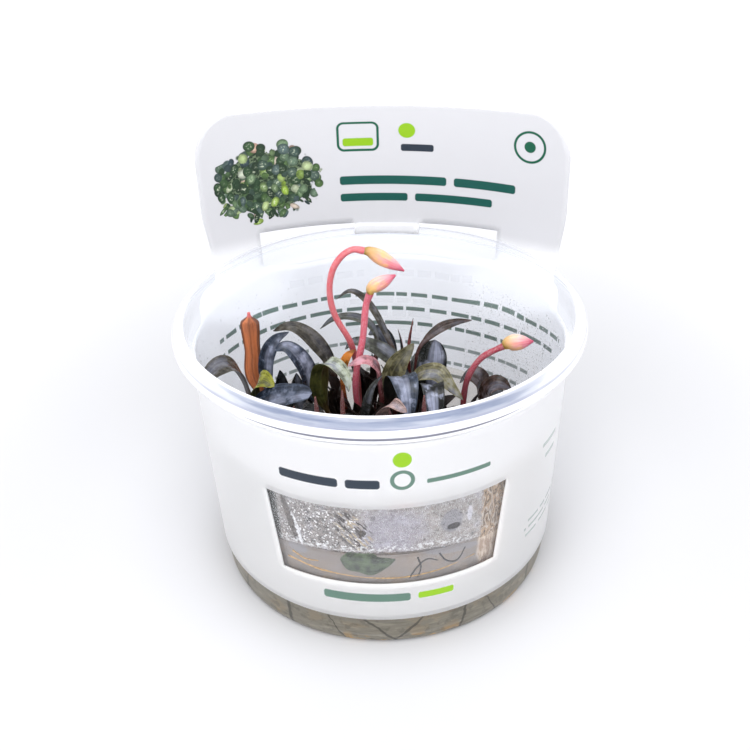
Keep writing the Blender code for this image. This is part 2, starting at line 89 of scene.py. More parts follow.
# Card sleeve, drawn flat: s runs round the cup from the middle of the back, z runs up
CARD = 0.4
SLEEVE_BOTTOM = 9.0
BAND_TOP = 60.2
WRAP_RADIUS = 44.5
HALF_WAY_ROUND = math.pi * WRAP_RADIUS
WINDOW_BOTTOM = 20.4
WINDOW_TOP = 43.0
WINDOW_LEFT_ANGLE = 35.0
WINDOW_RIGHT_ANGLE = 36.4
WINDOW_LEAN = 1.1
WINDOW_LEAN_REACH = 12.0
HEADER_ARC_RADIUS = 83.0
HEADER_BACK = 45.8
HEADER_LEFT = -47.3
HEADER_RIGHT = 51.9
HEADER_WAIST = 1.4
HEADER_WAIST_TOP = 78.0
HEADER_TOP = 102.2
HEADER_DIP = 0.9
HEADER_TILT = 0.02
HEADER_CORNER = 11.0
SLOT_LEFT = -32.0
SLOT_RIGHT = 33.0
SLOT_TOP = 69.1
TAB_LEFT = -6.0
TAB_RIGHT = 11.5
TAB_BOTTOM = 66.4
TAB_FOLD = 68.7
LIFT_OFF_HEIGHT = 44.0
LIFT_OFF_HEIGHT_ROUND_THE_SIDE = 61.0
LIFT_OFF_DONE = 64.8
COLUMN_STEP = 1.6
ROW_STEP = 1.8
CORNER_ROWS = 12
FLAT_MAP_SIZE = 100.0
CARD_GLOW = 3.5

# Print on the sleeve, in millimetres on the flat card. A bar is its left, right, bottom and top, a row of
# bars adds their pace and phase, and a round mark is its middle and radius. What has FRONT or SIDE in its
# name counts from the middle of the front, the rest from the middle of the back.
HEADLINE = [(-9.4, 19.0, 80.2, 82.6), (21.0, 37.6, 80.2, 82.6), (-9.4, 8.6, 75.5, 77.7),
            (10.6, 31.4, 75.5, 77.7)]
HEADER_FRAME = ((-4.2, 93.6), (5.2, 3.9), 1.6)
HEADER_FRAME_FOOT = (-8.2, -0.2, 90.8, 93.0)
HEADER_RING = ((41.0, 93.5), 4.0)
HEADER_DOT = ((41.0, 93.5), 1.5)
HEADER_DISC = ((8.6, 95.2), 2.2)
HEADER_BAR = (7.0, 15.6, 89.4, 91.3)
HEADER_LINE = 0.32
UPPER_ROWS = [(-54.0, 66.0, 47.5, 48.7, 1.15, 0.3), (-54.0, 62.0, 43.1, 44.3, 1.05, 2.2),
              (-10.0, 39.0, 38.5, 39.7, 1.2, 4.0)]
LOWER_ROWS = [(-40.0, 50.0, 32.4, 33.5, 1.3, 1.0), (-34.0, 48.0, 27.3, 28.4, 1.25, 3.0),
              (-20.0, 30.0, 23.2, 24.3, 1.35, 5.0)]
ROWS_MIDDLE = 12.0
ROWS_SAG_LEFT = 0.00054
ROWS_SAG_RIGHT = 0.0022
FRONT_TITLE = [(-23.6, -10.0, 48.6, 51.0), (-8.4, -1.0, 48.6, 51.0)]
FRONT_BARS = [(9.0, 24.0, 49.2, 50.4), (-15.4, 5.4, 14.9, 17.4)]
FRONT_LIME_BAR = (7.2, 16.0, 15.2, 17.2)
FRONT_DISC = ((3.8, 56.2), 2.0)
FRONT_RING = ((3.8, 50.8), 2.2)
FRONT_LINE = 0.45
SIDE_BARS = [(43.0, 51.0, 43.6, 44.8), (45.0, 51.0, 39.6, 40.8)]
SIDE_ROWS = [(38.0, 64.0, 24.0, 24.8, 1.1, 0.0), (38.0, 64.0, 21.8, 22.6, 1.2, 2.0),
             (38.0, 60.0, 19.6, 20.4, 1.0, 4.0)]
# Rows on the back of the band, which also show faintly through the card
BACK_ROWS = [(-26.0, -4.0, 53.8, 55.8, 1.3, 0.4), (3.0, 27.0, 53.8, 55.8, 1.4, 2.0),
             (-10.0, 15.4, 45.4, 47.0, 1.0, 1.0), (-10.0, 15.4, 41.2, 43.4, 0.9, 2.6),
             (-10.0, 15.4, 36.6, 38.8, 1.1, 4.1), (-10.0, 15.4, 32.4, 34.6, 0.8, 0.2)]
# The printed mound of leaves: its middle and half size, the feet that its leaves fan out from, each with a
# phase, and how close the leaves stand round a foot and outwards from it
PICTURE = ((-28.7, 83.0), (15.0, 10.6))
PICTURE_FEET = [((-28.0, 58.0), 3.1), ((-9.0, 68.0), 17.3), ((-49.0, 70.0), 41.9), ((-20.0, 61.0), 63.7),
                ((-37.0, 60.0), 85.1)]
LEAVES_PER_RADIAN = 9.0
LEAVES_PER_MM = 0.3

RHIZOME_RADIUS = 1.6
# Creeping stems that lie on the gel: the x and y where each starts and ends
RHIZOMES = [
    ((-33.0, -5.0), (-15.0, -7.0)),
    ((-25.0, 3.0), (-9.0, 3.5)),
    ((-6.0, 6.0), (12.0, 7.0)),
    ((-9.0, -5.0), (6.0, -8.0)),
    ((9.0, -2.0), (26.0, -4.0)),
    ((-16.0, -13.0), (2.0, -16.0)),
]

LEAF_THICKNESS = 0.45
MIDRIB_DEPTH = 0.3
GROOVE_DEPTH = 0.22
PETIOLE_WIDTH = 1.2
# Leaves, first the shape: creeping stem, place along it (0 to 1), the points that the midrib passes above its
# foot, blade width, roll about the midrib in degrees, share of the length that is stalk. Then the looks: the
# upper side's colour, the underside's, wave of the edges, twist towards the tip in degrees, how blunt the tip
# is, how much wet silver sheen lies on the upper side.
# The sheen in the looks is painted sheen, colour that stands in for reflected light
LEAVES = {
    "leaf_left_arching": (
        (0, 0.06, [(-32, -4, 44), (-33.5, -4, 52), (-36.5, -5, 56), (-40, -7.5, 55), (-40.5, -10, 50.5)],
         6.5, -20, 0.4),
        ("taupe", "brown", 0.5, 12, 0.5, 0.25)),
    "leaf_left_folded": (
        (0, 0.5, [(-29, -7, 44), (-29.5, -8, 51), (-28, -8.5, 54), (-25, -11, 53.5)], 6.0, 20, 0.4),
        ("lime", "olive", 0.5, 20, 0.6, 0.1)),
    "leaf_left_upright": (
        (0, 0.68, [(-21, 0, 41), (-21, 3, 48.3)], 4.5, 0, 0.4),
        ("dark", "brown", 0.2, 10, 0.2, 0.4)),
    "leaf_left_level": (
        (0, 0.28, [(-30, -11, 46), (-26, -13, 51), (-20, -14, 53.2), (-16, -15, 54)], 7.0, 25, 0.4),
        ("slate", "rosy", 0.4, 8, 0.9, 0.5)),
    "leaf_left_low": (
        (0, 0.9, [(-18, -10, 41), (-19, -11, 46), (-14, -13, 48)], 5.0, 20, 0.4),
        ("dark", "olive", 0.5, 0, 0.3, 0.1)),
    "leaf_left_grey": (
        (1, 0.14, [(-28, 2, 44), (-27.8, 2.5, 53), (-25.4, 3, 58), (-22, 3.5, 59.8)], 4.4, 45, 0.4),
        ("slate", "brown", 0.4, 15, 0.2, 0.8)),
    "leaf_arch_wide": (
        (1, 0.85, [(-11.5, 6, 42), (-12.5, 7, 48), (-15.5, 7.5, 53.7), (-19, 8, 57.4),
         (-22.5, 8.5, 58.6), (-26.5, 9, 57)], 4.2, -40, 0.35),
        ("taupe", "olive", 0.35, -8, 0.3, 0.1)),
    "leaf_arch_shiny": (
        (1, 0.6, [(-17, 0, 45), (-18.5, -1, 52.3), (-20.7, -1.5, 57), (-22.8, -1.5, 58.6),
         (-25.3, -1.5, 57.6)], 5.6, -50, 0.3),
        ("slate", "olive", 0.3, -5, 0.4, 1.0)),
    "leaf_left_back": (
        (1, 0.4, [(-22, 5, 36), (-25, 6, 41), (-25.5, 7, 46.8)], 4.0, -30, 0.4),
        ("dark", "brown", 0.4, 0, 0.2, 0.1)),
    "leaf_back_curled": (
        (2, 0.15, [(-2, 9, 44), (-0.8, 11, 51), (-2.2, 12, 56), (-6.1, 12.5, 58.3), (-11.1, 13, 57.9),
         (-15.1, 13, 54.9)], 2.2, -35, 0.5),
        ("grey", "dark", 0.3, -20, 0.2, 0.2)),
    "leaf_back_tall": (
        (2, 0.5, [(4, 8, 42), (3.9, 10, 47.5), (2, 12, 52.2), (-0.8, 14, 58.2), (-3.9, 15.5, 62.3),
         (-7.1, 16, 63.9), (-10.8, 16, 61.6)], 2.0, -35, 0.45),
        ("taupe", "olive", 0.3, -15, 0.2, 0.2)),
    "leaf_back_dark": (
        (2, 0.32, [(1.5, 12, 38), (2.5, 14, 43.8), (1.5, 15.5, 48.4), (-0.5, 17, 51.3), (-3, 18, 50)],
         5.0, -45, 0.55),
        ("dark", "dark", 0.3, 0, 0.4, 0.3)),
    "leaf_back_low": (
        (2, 0.7, [(9, 14, 38), (12, 19, 42), (17, 24, 41)], 6.0, 0, 0.4),
        ("dark", "brown", 0.3, 0, 0.3, 0.1)),
    "leaf_middle_grey": (
        (2, 0.8, [(7, 3, 42), (4.2, 2, 50.5), (0.6, 3, 53.9), (-3, 3.5, 55.7), (-6.4, 4, 56.2),
         (-8.7, 4, 54)], 4.4, -35, 0.35),
        ("grey", "dark", 0.3, 0, 0.4, 0.4)),
    "leaf_spike_tall": (
        (2, 0.92, [(7.5, 8, 42), (6.9, 8, 50.9), (8.3, 8, 60)], 1.6, 0, 0.6),
        ("red", "red", 0.0, 0, 0.0, 0.0)),
    "leaf_spike_short": (
        (2, 0.585, [(5.5, 7, 44), (5.6, 7, 51), (5.2, 7, 54.5), (4.5, 7, 57.6)], 1.5, 0, 0.6),
        ("red", "dark", 0.0, 0, 0.0, 0.0)),
    "leaf_front_folded": (
        (3, 0.02, [(-11.5, -7, 38), (-13.5, -8, 45), (-14.4, -9, 52), (-13.6, -10, 58.2),
         (-10.8, -12.5, 60), (-8.2, -15, 58.2), (-7.5, -16.5, 55)], 5.6, 0, 0.35),
        ("pale", "olive", 0.5, 0, 0.3, 0.5)),
    "leaf_orange_scrap": (
        (3, 0.19, [(-9, -4, 45), (-9.3, -3, 52), (-8, -2.6, 56), (-6, -2.2, 57.6)], 2.4, 20, 0.72),
        ("orange", "orange", 0.3, 20, 0.3, 0.0)),
    "leaf_pink_young": (
        (3, 0.53, [(0, -6, 44), (-0.3, -6.5, 50), (-1, -7.5, 55.6), (-3.6, -8.5, 58.4),
         (-7.6, -9.5, 57.6)], 3.0, -35, 0.62),
        ("pink", "pink", 0.3, 0, 0.3, 0.3)),
    "leaf_front_pink": (
        (3, 0.68, [(0, -12, 42), (0.8, -18, 50.5), (2.6, -22, 55), (5.5, -24, 54)], 5.0, 15, 0.4),
        ("blush", "blush", 0.3, 0, 0.6, 0.3)),
    "leaf_front_grey": (
        (3, 0.84, [(3, -8, 45), (3.4, -9, 51.6), (4.8, -11.5, 55.4), (5.8, -16, 53.5), (6.2, -19, 47)],
         6.5, 0, 0.35),
        ("slate", "dark", 0.2, 0, 0.3, 0.9)),
    "leaf_olive_blade": (
        (3, 1.0, [(4, -5, 43), (2.2, -3.5, 49), (3.8, -2, 53), (8.2, 1, 57)], 6.5, 60, 0.4),
        ("khaki", "olive", 0.4, 10, 0.3, 0.1)),
    "leaf_right_thin": (
        (4, 0.0, [(9, 1, 42), (9, 4, 50.9), (10.6, 6, 54), (14.9, 8, 57), (18.9, 9, 58), (23, 10, 57.8)],
         2.4, 30, 0.62),
        ("brown", "brown", 0.6, 25, 0.2, 0.1)),
    "leaf_right_round": (
        (4, 0.16, [(12.5, 0, 43), (12.5, 0.5, 49), (13.4, 3, 56.6)], 8.2, 0, 0.45),
        ("dark", "dark", 0.3, 0, 0.9, 0.6)),
    "leaf_right_pale": (
        (4, 0.32, [(12, -6, 43), (7.8, -7, 51), (12.5, -9, 54.8), (16, -11.5, 52.3), (19, -13, 49.5)],
         5.5, 20, 0.4),
        ("khaki", "olive", 0.4, 0, 0.2, 0.35)),
    "leaf_right_shiny": (
        (4, 0.48, [(15.5, -7, 40), (12, -10.5, 47.5), (11.8, -12.5, 53.6), (12.2, -16.5, 52.5),
         (12.4, -19, 46)], 6.0, 0, 0.35),
        ("dark", "dark", 0.3, 0, 0.5, 1.0)),
    "leaf_right_brown": (
        (4, 0.8, [(25, 0, 39), (24.8, 1.5, 44.5), (22.5, 2.5, 46.5), (19.6, 3.5, 43.5)], 5.5, -20, 0.4),
        ("brown", "rosy", 0.4, 0, 0.4, 0.2)),
    "leaf_right_low": (
        (4, 0.96, [(25, -6, 40), (25.4, -6.5, 47), (27.6, -7, 49.8), (31, -7.5, 48.6)], 6.2, 25, 0.35),
        ("brown", "brown", 0.3, 0, 0.4, 0.2)),
    "leaf_right_back": (
        (4, 0.88, [(27, 4, 34), (29, 9, 37), (30, 14, 36)], 5.5, 0, 0.4),
        ("dark", "brown", 0.3, 0, 0.3, 0.1)),
    "leaf_front_left": (
        (5, 0.06, [(-21, -19, 42), (-28, -18, 49), (-32.5, -15, 53.5)], 5.0, -20, 0.4),
        ("slate", "brown", 0.3, 0, 0.3, 0.2)),
    "leaf_front_dark": (
        (5, 0.32, [(-11, -17, 40), (-10, -20, 48), (-5, -22, 51)], 6.5, 20, 0.4),
        ("dark", "dark", 0.3, 0, 0.5, 0.2)),
    "leaf_front_narrow": (
        (5, 0.62, [(-4.5, -16, 42), (-3.7, -16, 50), (-2.2, -14, 54.2), (0.3, -11.5, 56.2)], 2.2, 30, 0.4),
        ("dark", "brown", 0.3, 15, 0.1, 0.2)),
    "leaf_front_right": (
        (5, 0.95, [(4, -20, 38), (8, -24, 46), (14, -26, 47)], 7.0, 15, 0.4),
        ("dark", "brown", 0.3, 0, 0.5, 0.2)),
}

# Flower stalks: creeping stem, place along it, points above the foot, thickness, colour
FLOWER_STALKS = {
    "flower_stalk_hooked": (2, 0.02, [(-6, 3, 48), (-7, 0, 58), (-10.5, 0, 66), (-11.4, 0, 72),
                                      (-10.5, 0, 77.5), (-8.2, 0, 81.2), (-5.5, 0, 82.8),
                                      (-3, 0, 82.4)], 1.5, "coral"),
    "flower_stalk_upright": (3, 0.36, [(-6, -5, 44), (-6, -5, 52), (-4, -4, 62), (-3, -3, 70),
                                       (-2, -3, 73)], 1.6, "rose"),
    "flower_stalk_side": (4, 0.64, [(20, -4, 44), (21, -5, 51), (24, -5, 56), (29, -5, 59)], 1.5, "crimson"),
}
# Closed spathes: the stalk that each ends, its tip, its thickness
SPATHES = {
    "spathe_hooked": ("flower_stalk_hooked", (6.0, 0.0, 77.0), 3.3),
    "spathe_upright": ("flower_stalk_upright", (4.0, -3.0, 77.5), 3.2),
    "spathe_side": ("flower_stalk_side", (36.0, -5.0, 60.0), 3.8),
}
SPATHE_NECK = 1.4
# The withered spathe: creeping stem, place along it, points above its foot, width
WITHERED = (1, 0.0, [(-31.5, 5, 46), (-31.6, 6, 54), (-31.6, 6, 64)], 4.6)

# Short leaves that crowd on each creeping stem
LOW_LEAVES = 19
LOW_LEAF_REACH = (3.0, 8.0)
LOW_LEAF_RISE = (8.0, 15.0)
LOW_LEAF_WIDTH = (1.6, 4.6)
LOW_LEAF_ROLL = 25
# Red leaf stalks that show at the front: foot, top
LOW_STALKS = [((-16, -14), (-15.2, -17, 54.2)), ((-11, -14), (-9.0, -17, 55.6)), ((8, -16), (9.6, -19, 55.0)),
              ((-19, -13), (-20.5, -15, 50.5)), ((3, -15), (1.6, -19, 51.5))]

# Fineness of a route between two of its points, and of the rods along routes: sides, rings
ROUTE_FINENESS = 32
LEAF_FINENESS = (28, 56)
SUNKEN_LEAF_FINENESS = (24, 40)
LOW_LEAF_FINENESS = (10, 16)
LOW_STALK_FINENESS = (10, 24)
RHIZOME_FINENESS = (16, 40)
STALK_FINENESS = (16, 90)
SPATHE_FINENESS = (28, 40)
WITHERED_FINENESS = (32, 64)
ROOT_FINENESS = (8, 26)

# Roots that lie against the wall: places as degrees from the front and height, thickness, kind
WALL_ROOTS = [
    ([(-35.0, 12.0), (-35.3, 7.0), (-34.6, 3.6)], 0.8, "dark"),
    ([(0.3, 3.9), (-4.0, 6.6), (-8.5, 10.6)], 1.1, "dark"),
    ([(2.4, 3.7), (7.0, 6.0), (12.6, 9.8)], 1.1, "dark"),
    ([(42.7, 11.5), (43.1, 7.5), (42.3, 4.6)], 0.7, "dark"),
    ([(18.6, 11.0), (19.0, 7.4), (18.6, 5.0)], 0.5, "dark"),
    ([(-30.0, 9.6), (-28.4, 6.6), (-24.0, 5.0), (-20.0, 5.6)], 0.5, "straw"),
    ([(-27.0, 4.0), (-20.0, 3.6), (-12.0, 4.2)], 0.9, "straw"),
    ([(-5.0, 4.2), (-1.0, 3.5), (3.0, 3.5), (8.0, 4.3)], 0.9, "straw"),
    ([(24.0, 8.6), (29.0, 6.4), (36.0, 7.0)], 0.6, "straw"),
    ([(7.0, 20.4), (9.4, 23.4), (12.6, 25.4), (16.0, 24.4)], 0.4, "dark"),
    ([(9.6, 26.4), (10.6, 23.2), (9.6, 20.2)], 0.45, "dark"),
    ([(16.6, 26.4), (19.0, 23.6), (22.6, 22.8), (25.4, 26.0)], 0.4, "dark"),
    ([(-33.0, 22.6), (-20.0, 21.4), (0.0, 20.7), (15.0, 21.2), (29.0, 22.6)], 0.45, "straw"),
    ([(-31.0, 24.8), (-26.6, 23.6), (-22.0, 24.0)], 0.45, "straw"),
]
ROOT_DEPTH = 0.06
# Roots under each creeping stem
ROOTS_PER_STEM = 9
ROOT_SPREAD = 9.0
ROOT_CLEARANCE = 2.5
ROOT_RADIUS = (0.3, 0.5)
# A leaf sunk in the gel: places as degrees from the front and height
SUNKEN_LEAF = [(-14.5, 26.0), (-9.0, 25.4), (-3.0, 25.2), (2.6, 26.4)]
SUNKEN_LEAF_DEPTH = 0.32
SUNKEN_LEAF_HALF_WIDTH = 3.3
SUNKEN_LEAF_HALF_THICKNESS = 0.2

# Drops on the inside of the wall: number, angle from the front and height ranges, radius range
DROP_FIELDS = [
    (150, (-33, -12), (29, 43), (0.26, 0.52)),
    (420, (-36, -8), (28.5, 43), (0.12, 0.26)),
    (260, (-8, 37), (28.5, 43), (0.10, 0.24)),
    (26, (-8, 34), (28, 43), (0.3, 0.5)),
    (900, (103, 146), (27, 56), (0.09, 0.2)),
    (160, (60, 105), (40, 58), (0.12, 0.3)),
    (160, (-150, -60), (34, 58), (0.10, 0.22)),
]
# Single drops: angle from the front, height, radius
LONE_DROPS = [(-25.2, 36.8, 0.55), (-22.6, 36.5, 0.62), (-20.5, 35.2, 0.62), (-18.3, 35.1, 0.55),
              (-16.6, 33.3, 0.5), (-20.5, 31.5, 0.55), (-3.9, 39.0, 0.66), (-3.4, 42.6, 0.45),
              (23.6, 29.0, 0.5), (27.6, 30.0, 0.5)]
DROP_FLATNESS = 0.45
DROP_SEGMENTS = (8, 5)

# Marks in the mist behind the window: middle and half size, each as degrees from the front and height
CLEARED_STREAK = ((-30.3, 35.0), (1.3, 6.8))
STREAK_EDGE = ((-28.3, 32.6), (1.1, 4.4))
RIPPLES = ((-9.8, 35.0), (5.4, 5.6))
DARK_OVAL = ((20.3, 35.6), (3.5, 3.3))
PALE_BAR = ((26.2, 36.2), (0.9, 2.2))
SALMON_MARK = ((5.4, 43.0), (3.8, 1.1))
OVAL_SHADOW = ((DARK_OVAL[0][0] + 0.6, DARK_OVAL[0][1] - 1.7), (2.2, 0.9))
LILAC_PATCH = ((2.0, 35.0), (10.0, 6.0))
# Dim marks in the top of the gel, given the same way
GEL_SMUDGE_LEFT = ((-29.0, 26.4), (3.4, 1.5))
GEL_SMUDGE_RIGHT = ((21.0, 26.6), (7.5, 1.5))
# Dark strands in the foot: angle at the floor, lean in degrees a millimetre, half the width in degrees
FOOT_STRANDS = [(3.6, -1.35, 0.8), (0.4, 1.35, 0.8), (-34.0, -0.1, 0.9), (24.0, 0.25, 0.6),
                (55.0, 0.2, 0.9), (-58.0, 0.4, 0.6), (-14.0, -0.7, 0.4), (40.0, -0.8, 0.4),
                (118.0, 0.3, 0.8), (-126.0, 0.5, 0.8), (160.0, -0.4, 0.6)]

# The photograph's camera: lens and place, worked out from the ellipses of the rim, ledge, base and label
LENS_SHARE = 1.3584
SENSOR = 36.0
CAMERA_DISTANCE = 249.75
CAMERA_TARGET_HEIGHT = 48.82
CAMERA_ELEVATION = 32.378
CAMERA_ROLL = -1.766
CAMERA_SHIFT = -0.00817

# Floor and light, in metres, but where the floor starts and stops to grow paler as painted light, in
# millimetres
FLOOR_HALF_WIDTH = 3.0
FLOOR_FADE = (85.0, 330.0)
ROOM_COLOUR = (0.96, 0.97, 1.0, 1.0)
LIGHT_TARGET = (0.0, 0.0, 0.05)
# Soft lights: place, width, the setting that gives the power, and this light's share of it
SOFT_LIGHTS = {
    "light above": ((0.0, -0.24, 0.86), 0.7, "top", 1.0),
    "light front left": ((-0.5, -0.78, 0.5), 0.6, "side", 1.15),
    "light front right": ((0.4, -0.82, 0.5), 0.6, "side", 0.9),
}
MOST_BOUNCES = 12
MOST_CLEAR_BOUNCES = 32


def tone(red, green, blue):
    """A linear colour from one as it looks on a screen, each 0 to 255."""
    return tuple(((part / 255 + 0.055) / 1.055) ** 2.4 for part in (red, green, blue))


def colour_property(name, description, default):
    return FloatVectorProperty(name=name, description=description, subtype="COLOR", size=3, min=0.0, max=1.0,
                               default=default)


class CupSettings(bpy.types.PropertyGroup):
    """The clear cup and what has condensed in it."""
    segments: IntProperty(name="Segments", description="Faces round the cup", default=180, min=24)
    tint: colour_property("Plastic", "Colour of the clear plastic", tone(252, 253, 255))
    # Rim, crest and rim lines are painted light on the flange: a painted reflection, painted highlights and
    # painted dark edge lines
    rim: colour_property("Rim", "Colour of the thick flange", tone(122, 132, 156))
    crest: colour_property("Crest", "Colour of the flange's bright edges", tone(250, 250, 253))
    line: colour_property("Rim lines", "Colour of the fine lines round the flange", tone(150, 152, 168))
    # The foot colours stand for the gel seen through the foot, darkened partly as painted shade
    foot: colour_property("Foot", "Colour of the gel seen through the cup's foot", tone(118, 113, 101))
    foot_ochre: colour_property("Foot patches", "Colour of the old patches in the foot", tone(176, 136, 72))
    mist: FloatProperty(name="Mist density", description="How dense the condensation behind the window is",
                        default=0.86, min=0.0, max=1.0, subtype="FACTOR")
    mist_colour: colour_property("Mist", "Colour of the fine condensation", tone(248, 245, 243))
    mist_dark: colour_property("Gaps", "Colour in the gaps of the condensation", tone(150, 142, 138))
    mist_gold: colour_property("Gold", "Colour of what shows golden through wet plastic", tone(196, 176, 140))


class GelSettings(bpy.types.PropertyGroup):
    """The nutrient gel and the roots in it."""
    clear: colour_property("Clear gel", "Colour of the gel at its top", tone(176, 163, 153))
    # The deep gel's colour is partly painted shade
    body: colour_property("Deep gel", "Colour of the gel near the base", tone(84, 80, 68))
    ochre: colour_property("Ochre", "Colour of the old patches near the base", tone(168, 138, 84))
    dusk: colour_property("Dusk", "Colour of the dim patches near the top", tone(142, 140, 142))
    dark_root: colour_property("Dark roots", "Colour of the older roots", tone(16, 12, 6))
    straw_root: colour_property("Straw roots", "Colour of the younger roots", tone(176, 136, 70))


class SleeveSettings(bpy.types.PropertyGroup):
    """The printed card."""
    card: colour_property("Card", "Colour of the coated card", tone(253, 253, 255))
    # The header's grey is painted shade on the white card
    header: colour_property("Header", "Colour of the header's front", tone(191, 191, 195))
    ink: colour_property("Dark ink", "Colour of the small dark print", tone(10, 86, 62))
    headline: colour_property("Headline ink", "Colour of the large dark print", tone(22, 82, 74))
    lime: colour_property("Lime ink", "Colour of the bright print", tone(138, 184, 24))
    slate: colour_property("Slate ink", "Colour of the grey-green print", tone(40, 50, 62))


class PlantSettings(bpy.types.PropertyGroup):
    """Colours of the plant."""
    dark: colour_property("Dark", "Darkest leaves", tone(22, 24, 22))
    grey: colour_property("Grey", "Grey-green leaves", tone(64, 66, 58))
    taupe: colour_property("Taupe", "Grey-brown leaves", tone(66, 62, 54))
    slate: colour_property("Slate", "Blue-grey leaves", tone(50, 58, 72))
    olive: colour_property("Olive", "Olive leaves and undersides", tone(58, 60, 26))
    khaki: colour_property("Khaki", "Pale olive leaves", tone(104, 100, 74))
    brown: colour_property("Brown", "Brown leaves and undersides", tone(58, 44, 38))
    rosy: colour_property("Rosy brown", "Rosy undersides", tone(128, 90, 82))
    pale: colour_property("Pale", "Pale grey-green leaves", tone(140, 146, 128))
    lime: colour_property("Lime", "Young yellow-green leaves", tone(130, 130, 44))
    pink: colour_property("Pink", "Young pink leaves", tone(168, 112, 118))
    blush: colour_property("Blush", "Greyish pink young leaves", tone(160, 134, 128))
    rose: colour_property("Rose", "Rosy stalks", tone(204, 84, 104))
    coral: colour_property("Coral", "Coral stalks", tone(206, 90, 98))
    crimson: colour_property("Crimson", "Dark red stalks", tone(160, 42, 62))
    red: colour_property("Red", "Dark red spikes and leaf stalks", tone(112, 50, 46))
    orange: colour_property("Orange", "Orange-brown scraps", tone(178, 108, 40))
    withered: colour_property("Withered", "The old brown spathe", tone(186, 108, 66))
    # The colour of the painted sheen on the leaves
    sheen: colour_property("Sheen", "Wet silver sheen", tone(178, 184, 208))
    wave: FloatProperty(name="Wave", description="How much the leaves' edges wave", default=1.0, min=0.0,
                        max=3.0, subtype="FACTOR")


class StageSettings(bpy.types.PropertyGroup):
    """Floor and light."""
    floor: colour_property("Floor", "Colour of the floor", tone(207, 207, 209))
    sky: FloatProperty(name="Room light", description="Strength of the light from all round", default=0.94,
                       min=0.0)
    top: FloatProperty(name="Top light", description="Power of the soft light above", default=4.4,
                       min=0.0, subtype="POWER")
    side: FloatProperty(name="Side light", description="Power of each soft light in front", default=2.5,
                        min=0.0, subtype="POWER")


class Value:
    """A number that varies over a surface; Python's operators add Math nodes to it."""

    def __init__(self, shade, socket):
        self.shade = shade
        self.socket = socket

    def __add__(self, other):
        return self.shade.maths("ADD", self, other)

    def __radd__(self, other):
        return self.shade.maths("ADD", other, self)

    def __sub__(self, other):
        return self.shade.maths("SUBTRACT", self, other)

    def __rsub__(self, other):
        return self.shade.maths("SUBTRACT", other, self)

    def __mul__(self, other):
        return self.shade.maths("MULTIPLY", self, other)

    def __rmul__(self, other):
        return self.shade.maths("MULTIPLY", other, self)

    def __truediv__(self, other):
        return self.shade.maths("DIVIDE", self, other)

    def __pow__(self, other):
        return self.shade.maths("POWER", self, other)

    def __abs__(self):
        return self.shade.maths("ABSOLUTE", self)

    def __neg__(self):
        return self.shade.maths("MULTIPLY", self, -1.0)

    def sine(self):
        return self.shade.maths("SINE", self)

    def sign(self):
        return self.shade.maths("SIGN", self)

    def at_least(self, other):
        return self.shade.maths("MAXIMUM", self, other)

    def at_most(self, other):
        return self.shade.maths("MINIMUM", self, other)

    def rising(self, low, high):
        """0 below low, 1 above high, smooth between."""
        made = self.shade.node("ShaderNodeMapRange", {"interpolation_type": "SMOOTHSTEP"},
                               {"Value": self, "From Min": low, "From Max": high})
        return Value(self.shade, made.outputs["Result"])

    def within(self, low, high, soft):
        """1 between low and high, with soft ends."""
        return self.rising(low - soft, low + soft) * (1.0 - self.rising(high - soft, high + soft))


